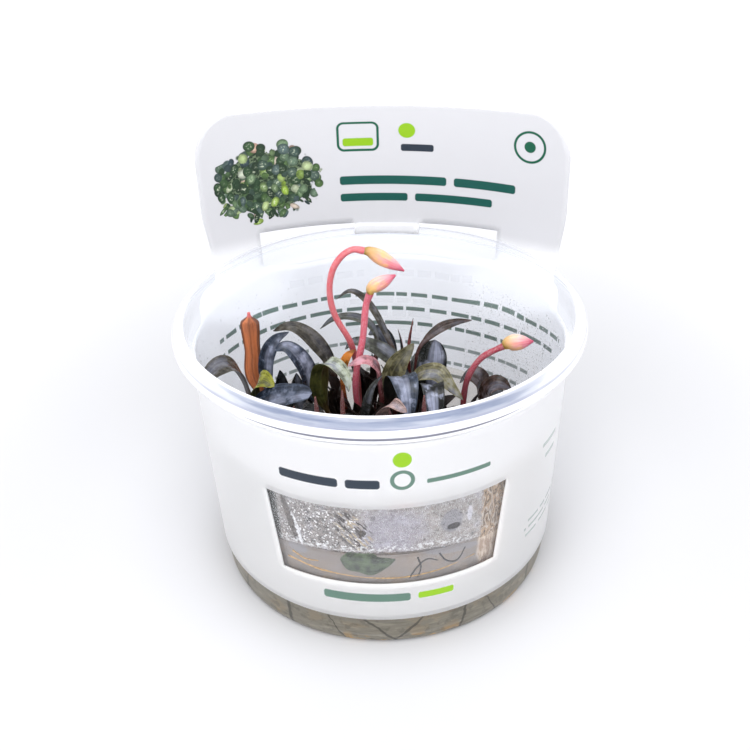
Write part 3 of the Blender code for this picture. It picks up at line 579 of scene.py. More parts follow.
class Shade:
    """A material and the nodes in it."""

    def __init__(self, name):
        self.material = bpy.data.materials.new(name)
        self.material.use_nodes = True
        self.tree = self.material.node_tree
        self.tree.nodes.clear()

    def feed(self, socket, value):
        if isinstance(value, Value):
            value = value.socket
        if isinstance(value, bpy.types.NodeSocket):
            self.tree.links.new(value, socket)
        elif socket.type == "RGBA" and len(value) == 3:
            socket.default_value = (*value, 1.0)
        else:
            socket.default_value = value

    def node(self, kind, settings=None, sockets=None):
        """Add a node: its settings first, a ramp's stops among them, then its sockets' values or links."""
        made = self.tree.nodes.new(kind)
        for key, value in (settings or {}).items():
            if key == "stops":
                elements = made.color_ramp.elements
                while len(elements) < len(value):
                    elements.new(0.5)
                for element, (position, colour) in zip(elements, value):
                    element.position = position
                    element.color = (*colour, 1.0)
            else:
                setattr(made, key, value)
        for key, value in (sockets or {}).items():
            self.feed(made.inputs[key], value)
        return made

    def maths(self, operation, *values):
        made = self.node("ShaderNodeMath", {"operation": operation}, dict(enumerate(values)))
        return Value(self, made.outputs[0])

    def place(self):
        """The place on the piece, in millimetres."""
        where = self.node("ShaderNodeTexCoord").outputs["Object"]
        made = self.node("ShaderNodeVectorMath", {"operation": "SCALE"}, {0: where, "Scale": 1 / MM})
        return made.outputs[0]

    def parts(self, vector):
        """The x, y and z of a vector."""
        made = self.node("ShaderNodeSeparateXYZ", None, {0: vector})
        return [Value(self, socket) for socket in made.outputs]

    def from_front(self, x, y):
        """The angle round the cup from the middle of its front, in degrees."""
        return self.maths("ARCTAN2", x, -y) * math.degrees(1.0)

    def uv(self, name):
        return self.node("ShaderNodeUVMap", {"uv_map": name}).outputs[0]

    def stretched(self, vector, scale):
        return self.node("ShaderNodeVectorMath", {"operation": "MULTIPLY"}, {0: vector, 1: scale}).outputs[0]

    def noise(self, where, scale, detail=3.0, roughness=0.55):
        made = self.node("ShaderNodeTexNoise", None,
                         {"Vector": where, "Scale": scale, "Detail": detail, "Roughness": roughness})
        return Value(self, made.outputs[0])

    def cells(self, where, scale):
        """How far a place is from the nearest of many scattered points."""
        made = self.node("ShaderNodeTexVoronoi", None, {"Vector": where, "Scale": scale})
        return Value(self, made.outputs["Distance"])

    def mix(self, share, first, second):
        made = self.node("ShaderNodeMix", {"data_type": "RGBA"}, {0: share, 6: first, 7: second})
        return made.outputs[2]

    def ramp(self, value, stops):
        return self.node("ShaderNodeValToRGB", {"stops": stops}, {0: value}).outputs[0]

    def bump(self, height, strength, depth):
        """A Bump node's output; depth is in millimetres."""
        made = self.node("ShaderNodeBump", None,
                         {"Height": height, "Strength": strength, "Distance": depth * MM})
        return made.outputs[0]

    def surface(self, sockets):
        return self.node("ShaderNodeBsdfPrincipled", None, sockets).outputs[0]

    def see_through(self, share, colour, surface):
        """A surface mixed over clear film of a colour; share is how much of the surface shows."""
        clear = self.node("ShaderNodeBsdfTransparent", None, {0: colour}).outputs[0]
        return self.laid_over(share, clear, surface)

    def laid_over(self, share, below, above):
        """One shader over another; share is how much of the upper one shows."""
        return self.node("ShaderNodeMixShader", None, {0: share, 1: below, 2: above}).outputs[0]

    def glance(self):
        """0 where one looks straight at the surface, 1 where one looks along it."""
        return Value(self, self.node("ShaderNodeLayerWeight", None, {0: 0.5}).outputs["Facing"])

    def done(self, shader):
        self.node("ShaderNodeOutputMaterial", None, {0: shader})
        return self.material


def scaled(colour, factor):
    return tuple(min(1.0, part * factor) for part in colour)


def finish_piece(name, bm, materials, nodes=()):
    """Scale a mesh drawn in millimetres, put it in the scene as a piece and let it ride on the cup's body."""
    bmesh.ops.transform(bm, matrix=Matrix.Scale(MM, 4), verts=bm.verts)
    mesh = bpy.data.meshes.new(name)
    bm.to_mesh(mesh)
    bm.free()
    for material in materials:
        mesh.materials.append(material)
    mesh.shade_smooth()
    mesh.set_sharp_from_angle(angle=math.radians(SHARP_ANGLE))
    piece = bpy.data.objects.new(name, mesh)
    bpy.context.scene.collection.objects.link(piece)
    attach(piece, "root")
    if nodes:
        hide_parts(*nodes)
    return piece


def join(bm, part):
    """Add a finished small mesh to a larger one."""
    mesh = bpy.data.meshes.new("part")
    part.to_mesh(mesh)
    part.free()
    bm.from_mesh(mesh)
    bpy.data.meshes.remove(mesh)


def smoothstep(low, high, value):
    t = min(1.0, max(0.0, (value - low) / (high - low)))
    return t * t * (3.0 - 2.0 * t)


def wall_outer(z):
    return WALL_RADIUS_FOOT + (WALL_RADIUS_TOP - WALL_RADIUS_FOOT) * z / WALL_TOP


def wall_inner(z):
    return wall_outer(z) - WALL


# Turned pieces

def filleted(profile, radius, steps=3):
    """Round the inner corners of a profile of (radius, height) points."""
    points = [Vector(p) for p in profile]
    rounded = [points[0]]
    for before, corner, after in zip(points, points[1:], points[2:]):
        reach = min(radius, (before - corner).length / 2.2, (after - corner).length / 2.2)
        start = corner + (before - corner).normalized() * reach
        end = corner + (after - corner).normalized() * reach
        pulls = [p.lerp(corner, 0.55) for p in (start, end)]
        arc = geometry.interpolate_bezier(*(p.to_3d() for p in (start, *pulls, end)), steps + 1)
        rounded += [p.to_2d() for p in arc]
    return rounded + [points[-1]]


def turned(profile, segments):
    """Turn a profile of (radius, height) points that starts and ends on the axis."""
    bm = bmesh.new()
    points = [bm.verts.new((p[0], 0.0, p[1])) for p in profile]
    edges = [bm.edges.new(pair) for pair in zip(points, points[1:])]
    bmesh.ops.spin(bm, geom=points + edges, cent=(0, 0, 0), axis=(0, 0, 1), angle=math.tau, steps=segments,
                   use_merge=True, use_duplicate=False)
    bmesh.ops.remove_doubles(bm, verts=bm.verts, dist=0.001)
    bmesh.ops.recalc_face_normals(bm, faces=bm.faces)
    return bm


def clear_plastic(settings):
    """Clear where one looks straight through, milky in the flange with painted highlights and a painted
    reflection, dim in the foot where the gel shows, partly painted shade.
    """
    shade = Shade("clear plastic")
    place = shade.place()
    x, y, z = shade.parts(place)
    radius = (x * x + y * y) ** 0.5
    front = -y / radius
    # The flange: painted highlights on crest and lip, a painted bluish reflection at the front, painted dark
    # edge lines
    flange = (z.rising(RIM_LIP_BOTTOM + 1.1, RIM_LIP_BOTTOM + 1.6)
              * radius.rising(COLLAR_INNER_RADIUS, COLLAR_INNER_RADIUS + 0.3))
    lip = radius.rising(RIM_RADIUS - 0.2, RIM_RADIUS - 0.04)
    crest = z.rising(CUP_HEIGHT - 0.4, CUP_HEIGHT - 0.15)
    upper_line = (radius.within(RIM_RADIUS - 0.5, RIM_RADIUS - 0.14, 0.1)
                  * z.rising(CUP_HEIGHT - RIM_STEP - 0.4, CUP_HEIGHT - RIM_STEP))
    lower_line = (1.0 - z.rising(RIM_LIP_BOTTOM + 0.15, RIM_LIP_BOTTOM + 0.4)) * lip
    lines = (upper_line + lower_line).at_most(1.0)
    haze = shade.noise(shade.stretched(place, (0.05, 0.05, 1.0)), 1.0, detail=3.0)
    pale = (haze.rising(0.4, 0.65) * 0.25 + (1.0 - front.rising(0.35, 0.95))).at_most(1.0)
    thick = shade.mix(pale, settings.rim, settings.crest)
    colour = shade.mix(crest.at_least(lip), thick, settings.crest)
    colour = shade.mix(lines * 0.55, colour, settings.line)
    colour = shade.mix(flange.at_least(lip), settings.tint, colour)
    # The collar above the sleeve, painted white in the front half as a painted highlight, with a painted
    # shadow line under the lip
    collar_highlight = (radius.rising(WALL_RADIUS_TOP - 0.5, WALL_RADIUS_TOP - 0.3) * front.rising(0.0, 0.3)
              * z.within(BAND_TOP - 0.3, RIM_LIP_BOTTOM - 1.4, 0.1))
    shadow = collar_highlight * z.rising(RIM_LIP_BOTTOM - 2.05, RIM_LIP_BOTTOM - 1.9)
    colour = shade.mix(collar_highlight, colour, settings.crest)
    colour = shade.mix(shadow, colour, scaled(settings.line, 0.7))
    # The gel as it shows through the plastic below the sleeve, painted on the foot; its dimness is partly
    # painted shade
    angle = shade.from_front(x, y)
    foot = (1.0 - z.rising(SLEEVE_BOTTOM + 0.3, SLEEVE_BOTTOM + 0.8)) * z.rising(0.1, 0.5)
    low = 1.0 - z.rising(0.8, 3.6)
    patches = shade.noise(shade.stretched(place, (1.0, 1.0, 1.6)), 0.13, detail=4.0)
    streaks = shade.noise(shade.stretched(place, (0.22, 0.22, 1.3)), 1.0, detail=3.0)
    ground = shade.mix(streaks.rising(0.5, 0.68) * 0.45, settings.foot, scaled(settings.foot, 1.7))
    ground = shade.mix((1.0 - streaks.rising(0.3, 0.46)) * 0.5, ground, scaled(settings.foot, 0.5))
    ground = shade.mix(patches.rising(0.53, 0.6) * (low * 0.85 + 0.1), ground, settings.foot_ochre)
    specks = shade.noise(place, 0.5, detail=4.0)
    ground = shade.mix(specks.rising(0.54, 0.64) * 0.5, ground, scaled(settings.foot, 0.5))
    wobble = (shade.noise(place, 0.35, detail=2.0) - 0.5) * 2.4
    for start, lean, half in FOOT_STRANDS:
        strand = 1.0 - abs(angle + wobble - (z * lean + start)).rising(half * 0.5, half)
        ground = shade.mix(strand * 0.8, ground, scaled(settings.foot, 0.22))
    colour = shade.mix(foot, colour, ground)
    surface = shade.surface({"Base Color": colour, "Roughness": foot * 0.3 + 0.06, "Specular IOR Level": 0.5})
    # How much of the surface shows over what is behind it
    # The flange shows more at the front, where its painted reflection lies
    milky = front.rising(-0.35, 0.6) * 0.7 + 0.16
    share = (shade.glance() ** 5.0 * 0.8 + 0.05 + flange * milky + lip * (milky - 0.06) + lines * 0.3
             + foot * 0.8 + collar_highlight * 0.8)
    return shade.done(shade.see_through(share.at_most(0.95), settings.tint, surface))


def blot(angle, z, mark, soft, lean=0.0):
    """1 in an oval mark on the wall, 0 outside it; lean slants it as it rises."""
    (middle_angle, middle_z), (half_angle, half_z) = mark
    up = (z - middle_z) / half_z
    across = (angle - middle_angle) / half_angle + up * lean
    return 1.0 - (across * across + up * up).rising(1.0 - soft, 1.0 + soft)


def misted_plastic(settings):
    """The wall's inside above the gel, with fine drops: dense behind the window, thin at the sides."""
    shade = Shade("misted plastic")
    place = shade.place()
    x, y, z = shade.parts(place)
    angle = shade.from_front(x, y)
    flat = shade.node("ShaderNodeCombineXYZ", None, {0: angle * 0.75, 1: z}).outputs[0]
    clouds = shade.noise(flat, 0.3, detail=3.0)
    wisps = shade.noise(flat, 1.1, detail=4.0)
    grit = shade.noise(flat, 4.0, detail=3.0)
    # Where there is mist, and the beads in it
    edge = 28.9 - angle * angle * 0.0014 + (wisps - 0.5) * 2.2
    above_gel = (z - edge).rising(-0.25, 0.35)
    front = angle.within(-60.0, 60.0, 10.0) * (1.0 - z.rising(46.0, 49.0))
    right = angle.within(98.0, 140.0, 14.0) * z.within(26.0, 56.0, 3.0)
    coarse = 1.0 - shade.cells(flat, 1.25).rising(0.2, 0.5)
    fine = 1.0 - shade.cells(flat, 3.1).rising(0.16, 0.5)
    wettest = angle.within(-34.0, -7.0, 3.0) * z.within(29.0, 41.0, 2.0)
    beads = (coarse * wettest + fine * (1.0 - wettest * 0.6)).at_most(1.0)
    # Its colour, and the marks in it
    lit = beads * 0.55 + (wisps - 0.35) * 0.8 + (clouds - 0.5) * 0.7 + (grit - 0.45) * 0.8
    colour = shade.mix(lit.rising(-0.1, 0.9), settings.mist_dark, settings.mist_colour)
    # Painted shade at the rims of the big beads
    rings = shade.cells(flat, 1.25).within(0.42, 0.54, 0.06) * wettest
    colour = shade.mix(rings * 0.6, colour, scaled(settings.mist_dark, 0.4))
    lilac = blot(angle, z, LILAC_PATCH, 0.8)
    colour = shade.mix(clouds.rising(0.5, 0.7) * 0.12 + lilac * 0.22, colour, tone(188, 186, 222))
    wobble = (wisps - 0.5) * 2.4
    streak = blot(angle + wobble, z, CLEARED_STREAK, 0.3, 1.6)
    colour = shade.mix(blot(angle + wobble, z, STREAK_EDGE, 0.3, 1.3) * 0.95, colour, tone(255, 254, 255))
    colour = shade.mix(streak, colour, scaled(settings.mist_dark, 0.6))
    askew = shade.node("ShaderNodeVectorRotate", {"rotation_type": "Z_AXIS"}, {"Vector": flat, "Angle": 0.85})
    slanted = shade.noise(shade.stretched(askew.outputs[0], (0.35, 1.1, 1.0)), 1.0, detail=2.0)
    rippled = blot(angle, z, RIPPLES, 0.5, 0.4)
    colour = shade.mix(rippled * slanted.rising(0.5, 0.56), colour, scaled(settings.mist_dark, 0.35))
    colour = shade.mix(rippled * (1.0 - slanted.rising(0.36, 0.44)) * 0.8, colour, settings.mist_gold)
    colour = shade.mix(blot(angle, z, SALMON_MARK, 0.3), colour, tone(226, 160, 152))
    oval = blot(angle + wobble * 0.6, z, DARK_OVAL, 0.3)
    colour = shade.mix(oval * 0.85, colour, tone(156, 154, 160))
    shadow = blot(angle, z, OVAL_SHADOW, 0.4)
    colour = shade.mix(shadow, colour, tone(60, 58, 62))
    colour = shade.mix(blot(angle, z, PALE_BAR, 0.3) * 0.8, colour, tone(232, 230, 238))
    # The sides: golden at the right, dark at the left, dotted round the corner
    tall = shade.noise(shade.stretched(flat, (0.36, 0.12, 1.0)), 1.0, detail=2.5)
    wavy = (angle + (tall - 0.5) * 24.0).sine() * 0.5 + 0.5
    golden = shade.ramp(wavy, [(0.0, tone(134, 112, 88)), (0.25, tone(216, 188, 160)),
                               (0.5, tone(190, 160, 134)), (0.75, tone(246, 234, 222)),
                               (1.0, tone(140, 116, 92))])
    # Painted sparkles of light along the mist's lower edge
    painted_sparkle = (z - edge).within(0.2, 1.8, 0.6) * wisps.rising(0.5, 0.58)
    colour = shade.mix(painted_sparkle * 0.8, colour, tone(255, 255, 255))
    side = (angle + wobble).rising(GOLDEN_SIDE - 0.6, GOLDEN_SIDE + 0.6)
    colour = shade.mix(side, colour, golden)
    dark_side = 1.0 - (angle + wobble).rising(DARK_SIDE - 0.8, DARK_SIDE + 0.8)
    beaded_dark = shade.mix(fine.rising(0.3, 0.8), tone(84, 86, 84), tone(236, 238, 240))
    colour = shade.mix(dark_side, colour, beaded_dark)
    dots = (1.0 - shade.cells(flat, 1.9).rising(0.16, 0.36)) * right
    colour = shade.mix(dots, colour, tone(100, 108, 102))
    # How much of it shows
    density = (front * settings.mist + right * (clouds.rising(0.25, 0.5) * 0.7 + 0.3) * beads * 0.7
               + dots * clouds.rising(0.35, 0.55)).at_most(1.0)
    thickness = (beads * 0.25 + front * 0.75 + 0.1) * (1.0 - side * 0.15)
    share = (density * above_gel.at_least(side * 0.9) * thickness + 0.03).at_most(0.96)
    surface = shade.surface({"Base Color": colour, "Roughness": 0.22, "IOR": 1.33,
                             "Normal": shade.bump(beads + wisps * 0.6, 0.8, 0.3)})
    return shade.done(shade.see_through(share, settings.tint, surface))


def make_cup(settings):
    """The cup as one turned wall, from the middle of its base over the rim to the middle of its inside."""
    rim_inside = RIM_RADIUS - RIM_LIP_THICKNESS
    profile = [
        (0.0, 0.0),
        (BASE_FLAT_RADIUS, 0.0),
        (BASE_FLAT_RADIUS + 1.5, 0.6),
        (wall_outer(BASE_ROUND_HEIGHT), BASE_ROUND_HEIGHT),
        (WALL_RADIUS_TOP, WALL_TOP),
        (COLLAR_OUTER_RADIUS, WALL_TOP + 0.9),
        (COLLAR_OUTER_RADIUS + 0.1, RIM_LIP_BOTTOM + 0.9),
        (rim_inside, RIM_LIP_BOTTOM + 0.7),
        (rim_inside, RIM_LIP_BOTTOM),
        (RIM_RADIUS, RIM_LIP_BOTTOM),
        (RIM_RADIUS, CUP_HEIGHT - RIM_STEP),
        (RIM_RADIUS - 0.4, CUP_HEIGHT - 1.7),
        (RIM_RADIUS - 1.4, CUP_HEIGHT - 1.2),
        (RIM_RADIUS - 2.0, CUP_HEIGHT - 0.3),
        (RIM_RADIUS - RIM_CREST_WIDTH, CUP_HEIGHT),
        (COLLAR_INNER_RADIUS + 0.2, CUP_HEIGHT - 0.2),
        (COLLAR_INNER_RADIUS, CUP_HEIGHT - 0.9),
        (COLLAR_INNER_RADIUS, LEDGE_HEIGHT + 0.5),
        (COLLAR_INNER_RADIUS - 0.9, LEDGE_HEIGHT),
        (wall_inner(WALL_TOP) + 0.1, LEDGE_HEIGHT - 0.3),
        (wall_inner(WALL_TOP), LEDGE_HEIGHT - 0.9),
        (wall_inner(GEL_HEIGHT), GEL_HEIGHT),
        (wall_inner(2.6), 2.6),
        (BASE_FLAT_RADIUS + 0.3, BASE_THICKNESS + 0.4),
        (BASE_FLAT_RADIUS - 1.0, BASE_THICKNESS),
        (0.0, BASE_THICKNESS),
    ]
    bm = turned(filleted(profile, FILLET), settings.segments)
    for face in bm.faces:
        middle = face.calc_center_median()
        on_the_inside = middle.xy.length < wall_outer(middle.z) - WALL / 2
        face.material_index = int(on_the_inside and GEL_HEIGHT < middle.z < LEDGE_HEIGHT)
    materials = [clear_plastic(settings), misted_plastic(settings)]
    return finish_piece("cup_fine", bm, materials, ["cup"])


def gel_material(settings):
    """Clear and rosy at its top, dim and greenish with old ochre patches near the base, where the dimness is
    partly painted shade.
    """
    shade = Shade("nutrient gel")
    place = shade.place()
    x, y, z = shade.parts(place)
    angle = shade.from_front(x, y)
    cloud = shade.noise(place, 0.12, detail=3.0)
    patches = shade.noise(place, 0.3, detail=4.0)
    # Darker towards the base: partly painted shade from the shadowed floor under the cup
    deep = 1.0 - (z + cloud * 5.0).rising(9.0, 19.0)
    dim = (patches.rising(0.5, 0.62) * 0.4 + blot(angle, z, GEL_SMUDGE_LEFT, 0.2)
           + blot(angle, z, GEL_SMUDGE_RIGHT, 0.3, 0.8)).at_most(1.0)
    colour = shade.mix(dim * 0.8, settings.clear, settings.dusk)
    colour = shade.mix(deep, colour, settings.body)
    ochre = shade.noise(place, 0.17, detail=4.0).rising(0.5, 0.58) * deep
    colour = shade.mix(ochre * 0.85, colour, settings.ochre)
    glow = (angle + (cloud - 0.5) * 8.0).within(GOLDEN_SIDE, 52.0, 1.0) * (1.0 - deep)
    bands = shade.noise(shade.stretched(place, (1.0, 1.0, 0.3)), 0.9, detail=2.0)
    golden = shade.mix(bands.rising(0.4, 0.6), tone(164, 132, 102), tone(238, 216, 190))
    colour = shade.mix(glow * 0.85, colour, golden)
    streaks = shade.noise(shade.stretched(place, (0.25, 0.25, 1.6)), 1.0, detail=3.0)
    colour = shade.mix(streaks.rising(0.56, 0.66) * deep * 0.6, colour, tone(176, 174, 164))
    colour = shade.mix((1.0 - streaks.rising(0.36, 0.44)) * deep * 0.5, colour, scaled(settings.body, 0.4))
    radius = (x * x + y * y) ** 0.5
    open_top = z.rising(GEL_HEIGHT - 0.3, GEL_HEIGHT - 0.1) * (1.0 - radius.rising(38.5, 40.5))
    seen = angle.within(-75.0, 75.0, 8.0) * (1.0 - open_top)
    share = ((deep * 0.36 + dim * 0.25 + glow * 0.3 + 0.48) * seen + 0.05).at_most(0.95)
    surface = shade.surface({"Base Color": colour, "Roughness": 0.12, "IOR": 1.34,
                             "Normal": shade.bump(patches, 0.25, 1.0)})
    return shade.done(shade.see_through(share, tone(254, 252, 249), surface))


def make_gel(settings):
    """The gel, which climbs a little where it meets the wall."""
    profile = [
        (0.0, BASE_THICKNESS + GAP),
        (BASE_FLAT_RADIUS - 1.2, BASE_THICKNESS + GAP),
        (wall_inner(3.2) - GAP, 3.2),
        (wall_inner(GEL_HEIGHT) - GAP, GEL_HEIGHT + GEL_MENISCUS),
        (wall_inner(GEL_HEIGHT) - GAP - 0.7, GEL_HEIGHT + 0.3 * GEL_MENISCUS),
        (wall_inner(GEL_HEIGHT) - GAP - 2.4, GEL_HEIGHT),
        (0.0, GEL_HEIGHT),
    ]
    bm = turned(filleted(profile, GEL_FILLET), GEL_SEGMENTS)
    return finish_piece("gel_fine", bm, [gel_material(settings)], ["nutrient_gel"])


# Card sleeve

def spaced(marks, step):
    """Places from the first mark to the last, no further apart than step, with every mark among them."""
    places = [marks[0]]
    for start, end in zip(marks, marks[1:]):
        count = math.ceil((end - start) / step)
        places += [start + (end - start) * k / count for k in range(1, count + 1)]
    return places


def on_the_wall(s, z):
    angle = s / WRAP_RADIUS
    radius = wall_outer(z) + GAP + CARD / 2
    return Vector((radius * math.sin(angle), radius * math.cos(angle), z))


def on_the_header(s, z):
    angle = s / HEADER_ARC_RADIUS
    centre = HEADER_BACK - HEADER_ARC_RADIUS
    return Vector((HEADER_ARC_RADIUS * math.sin(angle), centre + HEADER_ARC_RADIUS * math.cos(angle), z))


def on_the_tab(s, z):
    x = on_the_header(s, z).x
    radius = COLLAR_INNER_RADIUS - GAP - CARD / 2
    return Vector((x, math.sqrt(radius ** 2 - x ** 2), z))


def slot_middle_share(s, z):
    """1 where the card is free to leave the wall, 0 on the stretch below the slot, which stays on it."""
    beside = smoothstep(SLOT_RIGHT - 13.0, SLOT_RIGHT - 1.0, abs(s))
    return max(beside, smoothstep(BAND_TOP, SLOT_TOP, z))


def card_place(s, z):
    """The middle of the card's thickness, for a place on the flat drawing."""
    if TAB_LEFT - 0.1 <= s <= TAB_RIGHT + 0.1 and BAND_TOP + 1.0 < z <= TAB_FOLD:
        return on_the_tab(s, z)
    side = smoothstep(SLOT_RIGHT, 2 * SLOT_RIGHT, abs(s))
    lift_off = LIFT_OFF_HEIGHT + (LIFT_OFF_HEIGHT_ROUND_THE_SIDE - LIFT_OFF_HEIGHT) * side
    share = smoothstep(lift_off, LIFT_OFF_DONE, z) * slot_middle_share(s, z)
    return on_the_wall(s, z).lerp(on_the_header(s, z), share)


def header_reach(side, z):
    """How far the header's outline reaches to one side at a height."""
    reach = side - math.copysign(HEADER_WAIST * (1.0 - smoothstep(LIFT_OFF_DONE, HEADER_WAIST_TOP, z)), side)
    into_corner = z - (HEADER_TOP - HEADER_CORNER)
    if into_corner > 0:
        back = HEADER_CORNER - math.sqrt(max(0.0, HEADER_CORNER ** 2 - into_corner ** 2))
        reach -= math.copysign(back, side)
    return reach


def outline_shift(s, z):
    """Draw the header's outer columns in to its outline."""
    if z < BAND_TOP + 0.1 or SLOT_LEFT <= s <= SLOT_RIGHT:
        return s
    side, slot_end = (HEADER_LEFT, SLOT_LEFT) if s < 0 else (HEADER_RIGHT, SLOT_RIGHT)
    share = (s - slot_end) / (side - slot_end)
    return slot_end + share * (header_reach(side, z) - slot_end)


def window_edge(side):
    angle = WINDOW_LEFT_ANGLE if side < 0 else WINDOW_RIGHT_ANGLE
    return WRAP_RADIUS * (math.pi - math.radians(angle))


def window_shift(s, z):
    """Lean the window's upright edges so that it is a little wider at its top."""
    edge = math.copysign(WINDOW_LEAN, s)
    near = max(0.0, 1.0 - abs(abs(s) - window_edge(math.copysign(1, s))) / WINDOW_LEAN_REACH)
    height = (z - WINDOW_BOTTOM) / (WINDOW_TOP - WINDOW_BOTTOM) - 0.5
    return s - edge * near * min(0.5, max(-0.5, height)) * 2


def is_cut_away(s, z):
    in_window = (s < -window_edge(-1) or s > window_edge(1)) and WINDOW_BOTTOM < z < WINDOW_TOP
    beyond_header = z > BAND_TOP and not HEADER_LEFT < s < HEADER_RIGHT
    in_slot = SLOT_LEFT < s < SLOT_RIGHT and BAND_TOP < z < SLOT_TOP
    in_tab = TAB_LEFT < s < TAB_RIGHT and z > TAB_BOTTOM
    return in_window or beyond_header or (in_slot and not in_tab)


def rounded_box(s, z, centre, half_size, corner):
    """How far a place is outside a box with round corners, in millimetres."""
    out = [(abs(value - middle) - (half - corner)).at_least(0.0)
           for value, middle, half in zip((s, z), centre, half_size)]
    return (out[0] * out[0] + out[1] * out[1]) ** 0.5 - corner


def inked(distance, soft=0.12):
    """1 inside a printed shape, 0 outside it."""
    return 1.0 - distance.rising(-soft, soft)


def outlined(distance, half_line):
    """1 on a printed shape's outline."""
    return inked(abs(distance) - half_line)


def off_disc(s, z, middle, radius):
    """How far a place is outside a disc, in millimetres."""
    return rounded_box(s, z, middle, (radius, radius), radius - 0.01)


def together(masks):
    """1 where any of the masks is."""
    return sum(masks[1:], masks[0]).at_most(1.0)


def bar(s, z, left, right, bottom, top):
    """A plain printed bar with round ends."""
    half = ((right - left) / 2, (top - bottom) / 2)
    return inked(rounded_box(s, z, (left + half[0], bottom + half[1]), half, half[1] * 0.6))


def bars(s, z, places):
    return together([bar(s, z, *place) for place in places])


def broken_row(s, z, left, right, bottom, top, pace, phase):
    """A row of plain bars of unequal lengths."""
    beat = (s * pace + phase).sine() + (s * pace * 1.73 + phase * 2.1).sine() * 0.7
    return beat.rising(-0.95, -0.75) * s.within(left, right, 0.12) * z.within(bottom, top, 0.14)


def text_rows(s, z, rows):
    return together([broken_row(s, z, *row) for row in rows])


def leaf_layer(shade, s, z, foot, phase):
    """Leaf shapes that fan out from a foot. Returns where they are, each one's own random number and how far
    a place is from the middle of its leaf."""
    across = s - foot[0]
    up = z - foot[1]
    turn = shade.maths("ARCTAN2", across, up)
    reach = (across * across + up * up) ** 0.5
    fan = shade.node("ShaderNodeCombineXYZ", None,
                     {0: turn * LEAVES_PER_RADIAN + phase, 1: reach * LEAVES_PER_MM + phase}).outputs[0]
    cells = shade.node("ShaderNodeTexVoronoi", None, {"Vector": fan, "Scale": 1.0, "Randomness": 0.85})
    middle = shade.parts(cells.outputs["Position"])
    middle_turn = (middle[0] - phase) / LEAVES_PER_RADIAN
    middle_reach = (middle[1] - phase) / LEAVES_PER_MM
    (picture_s, picture_z), (half_width, half_height) = PICTURE
    middle_s = middle_reach * middle_turn.sine() + (foot[0] - picture_s)
    middle_z = middle_reach * (middle_turn + math.pi / 2).sine() + (foot[1] - picture_z)
    number, other, _ = shade.parts(cells.outputs["Color"])
    out = (middle_s / half_width) ** 2.0 + (middle_z / half_height) ** 2.0 + other * 0.45 - 0.15
    from_middle = Value(shade, cells.outputs["Distance"])
    shape = 1.0 - from_middle.rising(0.42, 0.48)
    return shape * (1.0 - out.rising(0.98, 0.99)), number, from_middle


def leaf_cluster(shade, s, z, card):
    """A generic printed picture: leaf shapes that fan out in a loose mound, over the card's colour."""
    greens = [(0.0, tone(34, 52, 40)), (0.28, tone(56, 84, 56)), (0.45, tone(96, 128, 72)),
              (0.58, tone(58, 74, 84)), (0.7, tone(120, 148, 108)), (0.82, tone(86, 104, 108)),
              (0.9, tone(158, 190, 70)), (0.97, tone(214, 220, 204)), (1.0, tone(206, 150, 128))]
    (picture_s, picture_z), (half_width, half_height) = PICTURE
    across = (s - picture_s) / (half_width * 0.82)
    up = (z - picture_z) / (half_height * 0.8)
    flat = shade.node("ShaderNodeCombineXYZ", None, {0: s, 1: z}).outputs[0]
    ragged = (shade.noise(flat, 0.5, detail=3.0) - 0.5) * 0.9
    mound = 1.0 - (across * across + up * up + ragged).rising(0.9, 0.96)
    gaps = shade.noise(flat, 1.3, detail=3.0).rising(0.4, 0.62)
    colour = shade.mix(mound, card, shade.mix(gaps, tone(30, 44, 34), tone(104, 122, 92)))
    mottle = shade.noise(flat, 0.9, detail=3.0).rising(0.3, 0.6) * 0.6 + 0.4
    gleam = shade.noise(flat, 1.7, detail=2.0).rising(0.5, 0.62)
    for foot, phase in PICTURE_FEET:
        shape, number, from_middle = leaf_layer(shade, s, z, foot, phase)
        shaded = from_middle.rising(0.14, 0.46) * 0.7 * mottle
        leaf = shade.mix(shaded, shade.ramp(number, greens), tone(26, 38, 30))
        leaf = shade.mix(gleam * (1.0 - from_middle.rising(0.05, 0.36)) * 0.75, leaf, tone(216, 224, 196))
        colour = shade.mix(shape, colour, leaf)
    return colour


def plain_card(shade, settings, s, z):
    """The card's colour: white round the cup and under the slot, greyer in the header, where the grey is
    painted shade.
    """
    beside_slot = 1.0 - s.within(SLOT_LEFT, SLOT_RIGHT, 0.5)
    header = z.rising(SLOT_TOP - 0.8, SLOT_TOP + 0.2).at_least(z.rising(BAND_TOP, SLOT_TOP) * beside_slot)
    return shade.mix(header, settings.card, settings.header)


def inside_print(shade, settings, s, z):
    """What is printed on the side that faces the plant, with the header's front."""
    card = plain_card(shade, settings, s, z)
    colour = shade.mix(text_rows(s, z, BACK_ROWS) * 0.2, card, settings.slate)
    left = (s - ROWS_MIDDLE).at_most(0.0)
    right = (s - ROWS_MIDDLE).at_least(0.0)
    level = z - right * right * ROWS_SAG_RIGHT - left * left * ROWS_SAG_LEFT
    colour = shade.mix(text_rows(s, level, UPPER_ROWS) * 0.85, colour, settings.ink)
    colour = shade.mix(text_rows(s, level, LOWER_ROWS) * 0.65, colour, settings.ink)
    colour = shade.mix(bars(s, z, HEADLINE), colour, settings.headline)
    marks = together([outlined(rounded_box(s, z, *HEADER_FRAME), HEADER_LINE),
                      outlined(off_disc(s, z, *HEADER_RING), HEADER_LINE),
                      inked(off_disc(s, z, *HEADER_DOT))])
    colour = shade.mix(marks, colour, settings.ink)
    bright = together([bar(s, z, *HEADER_FRAME_FOOT), inked(off_disc(s, z, *HEADER_DISC))])
    colour = shade.mix(bright, colour, settings.lime)
    colour = shade.mix(bar(s, z, *HEADER_BAR), colour, settings.slate)
    return leaf_cluster(shade, s, z, colour)


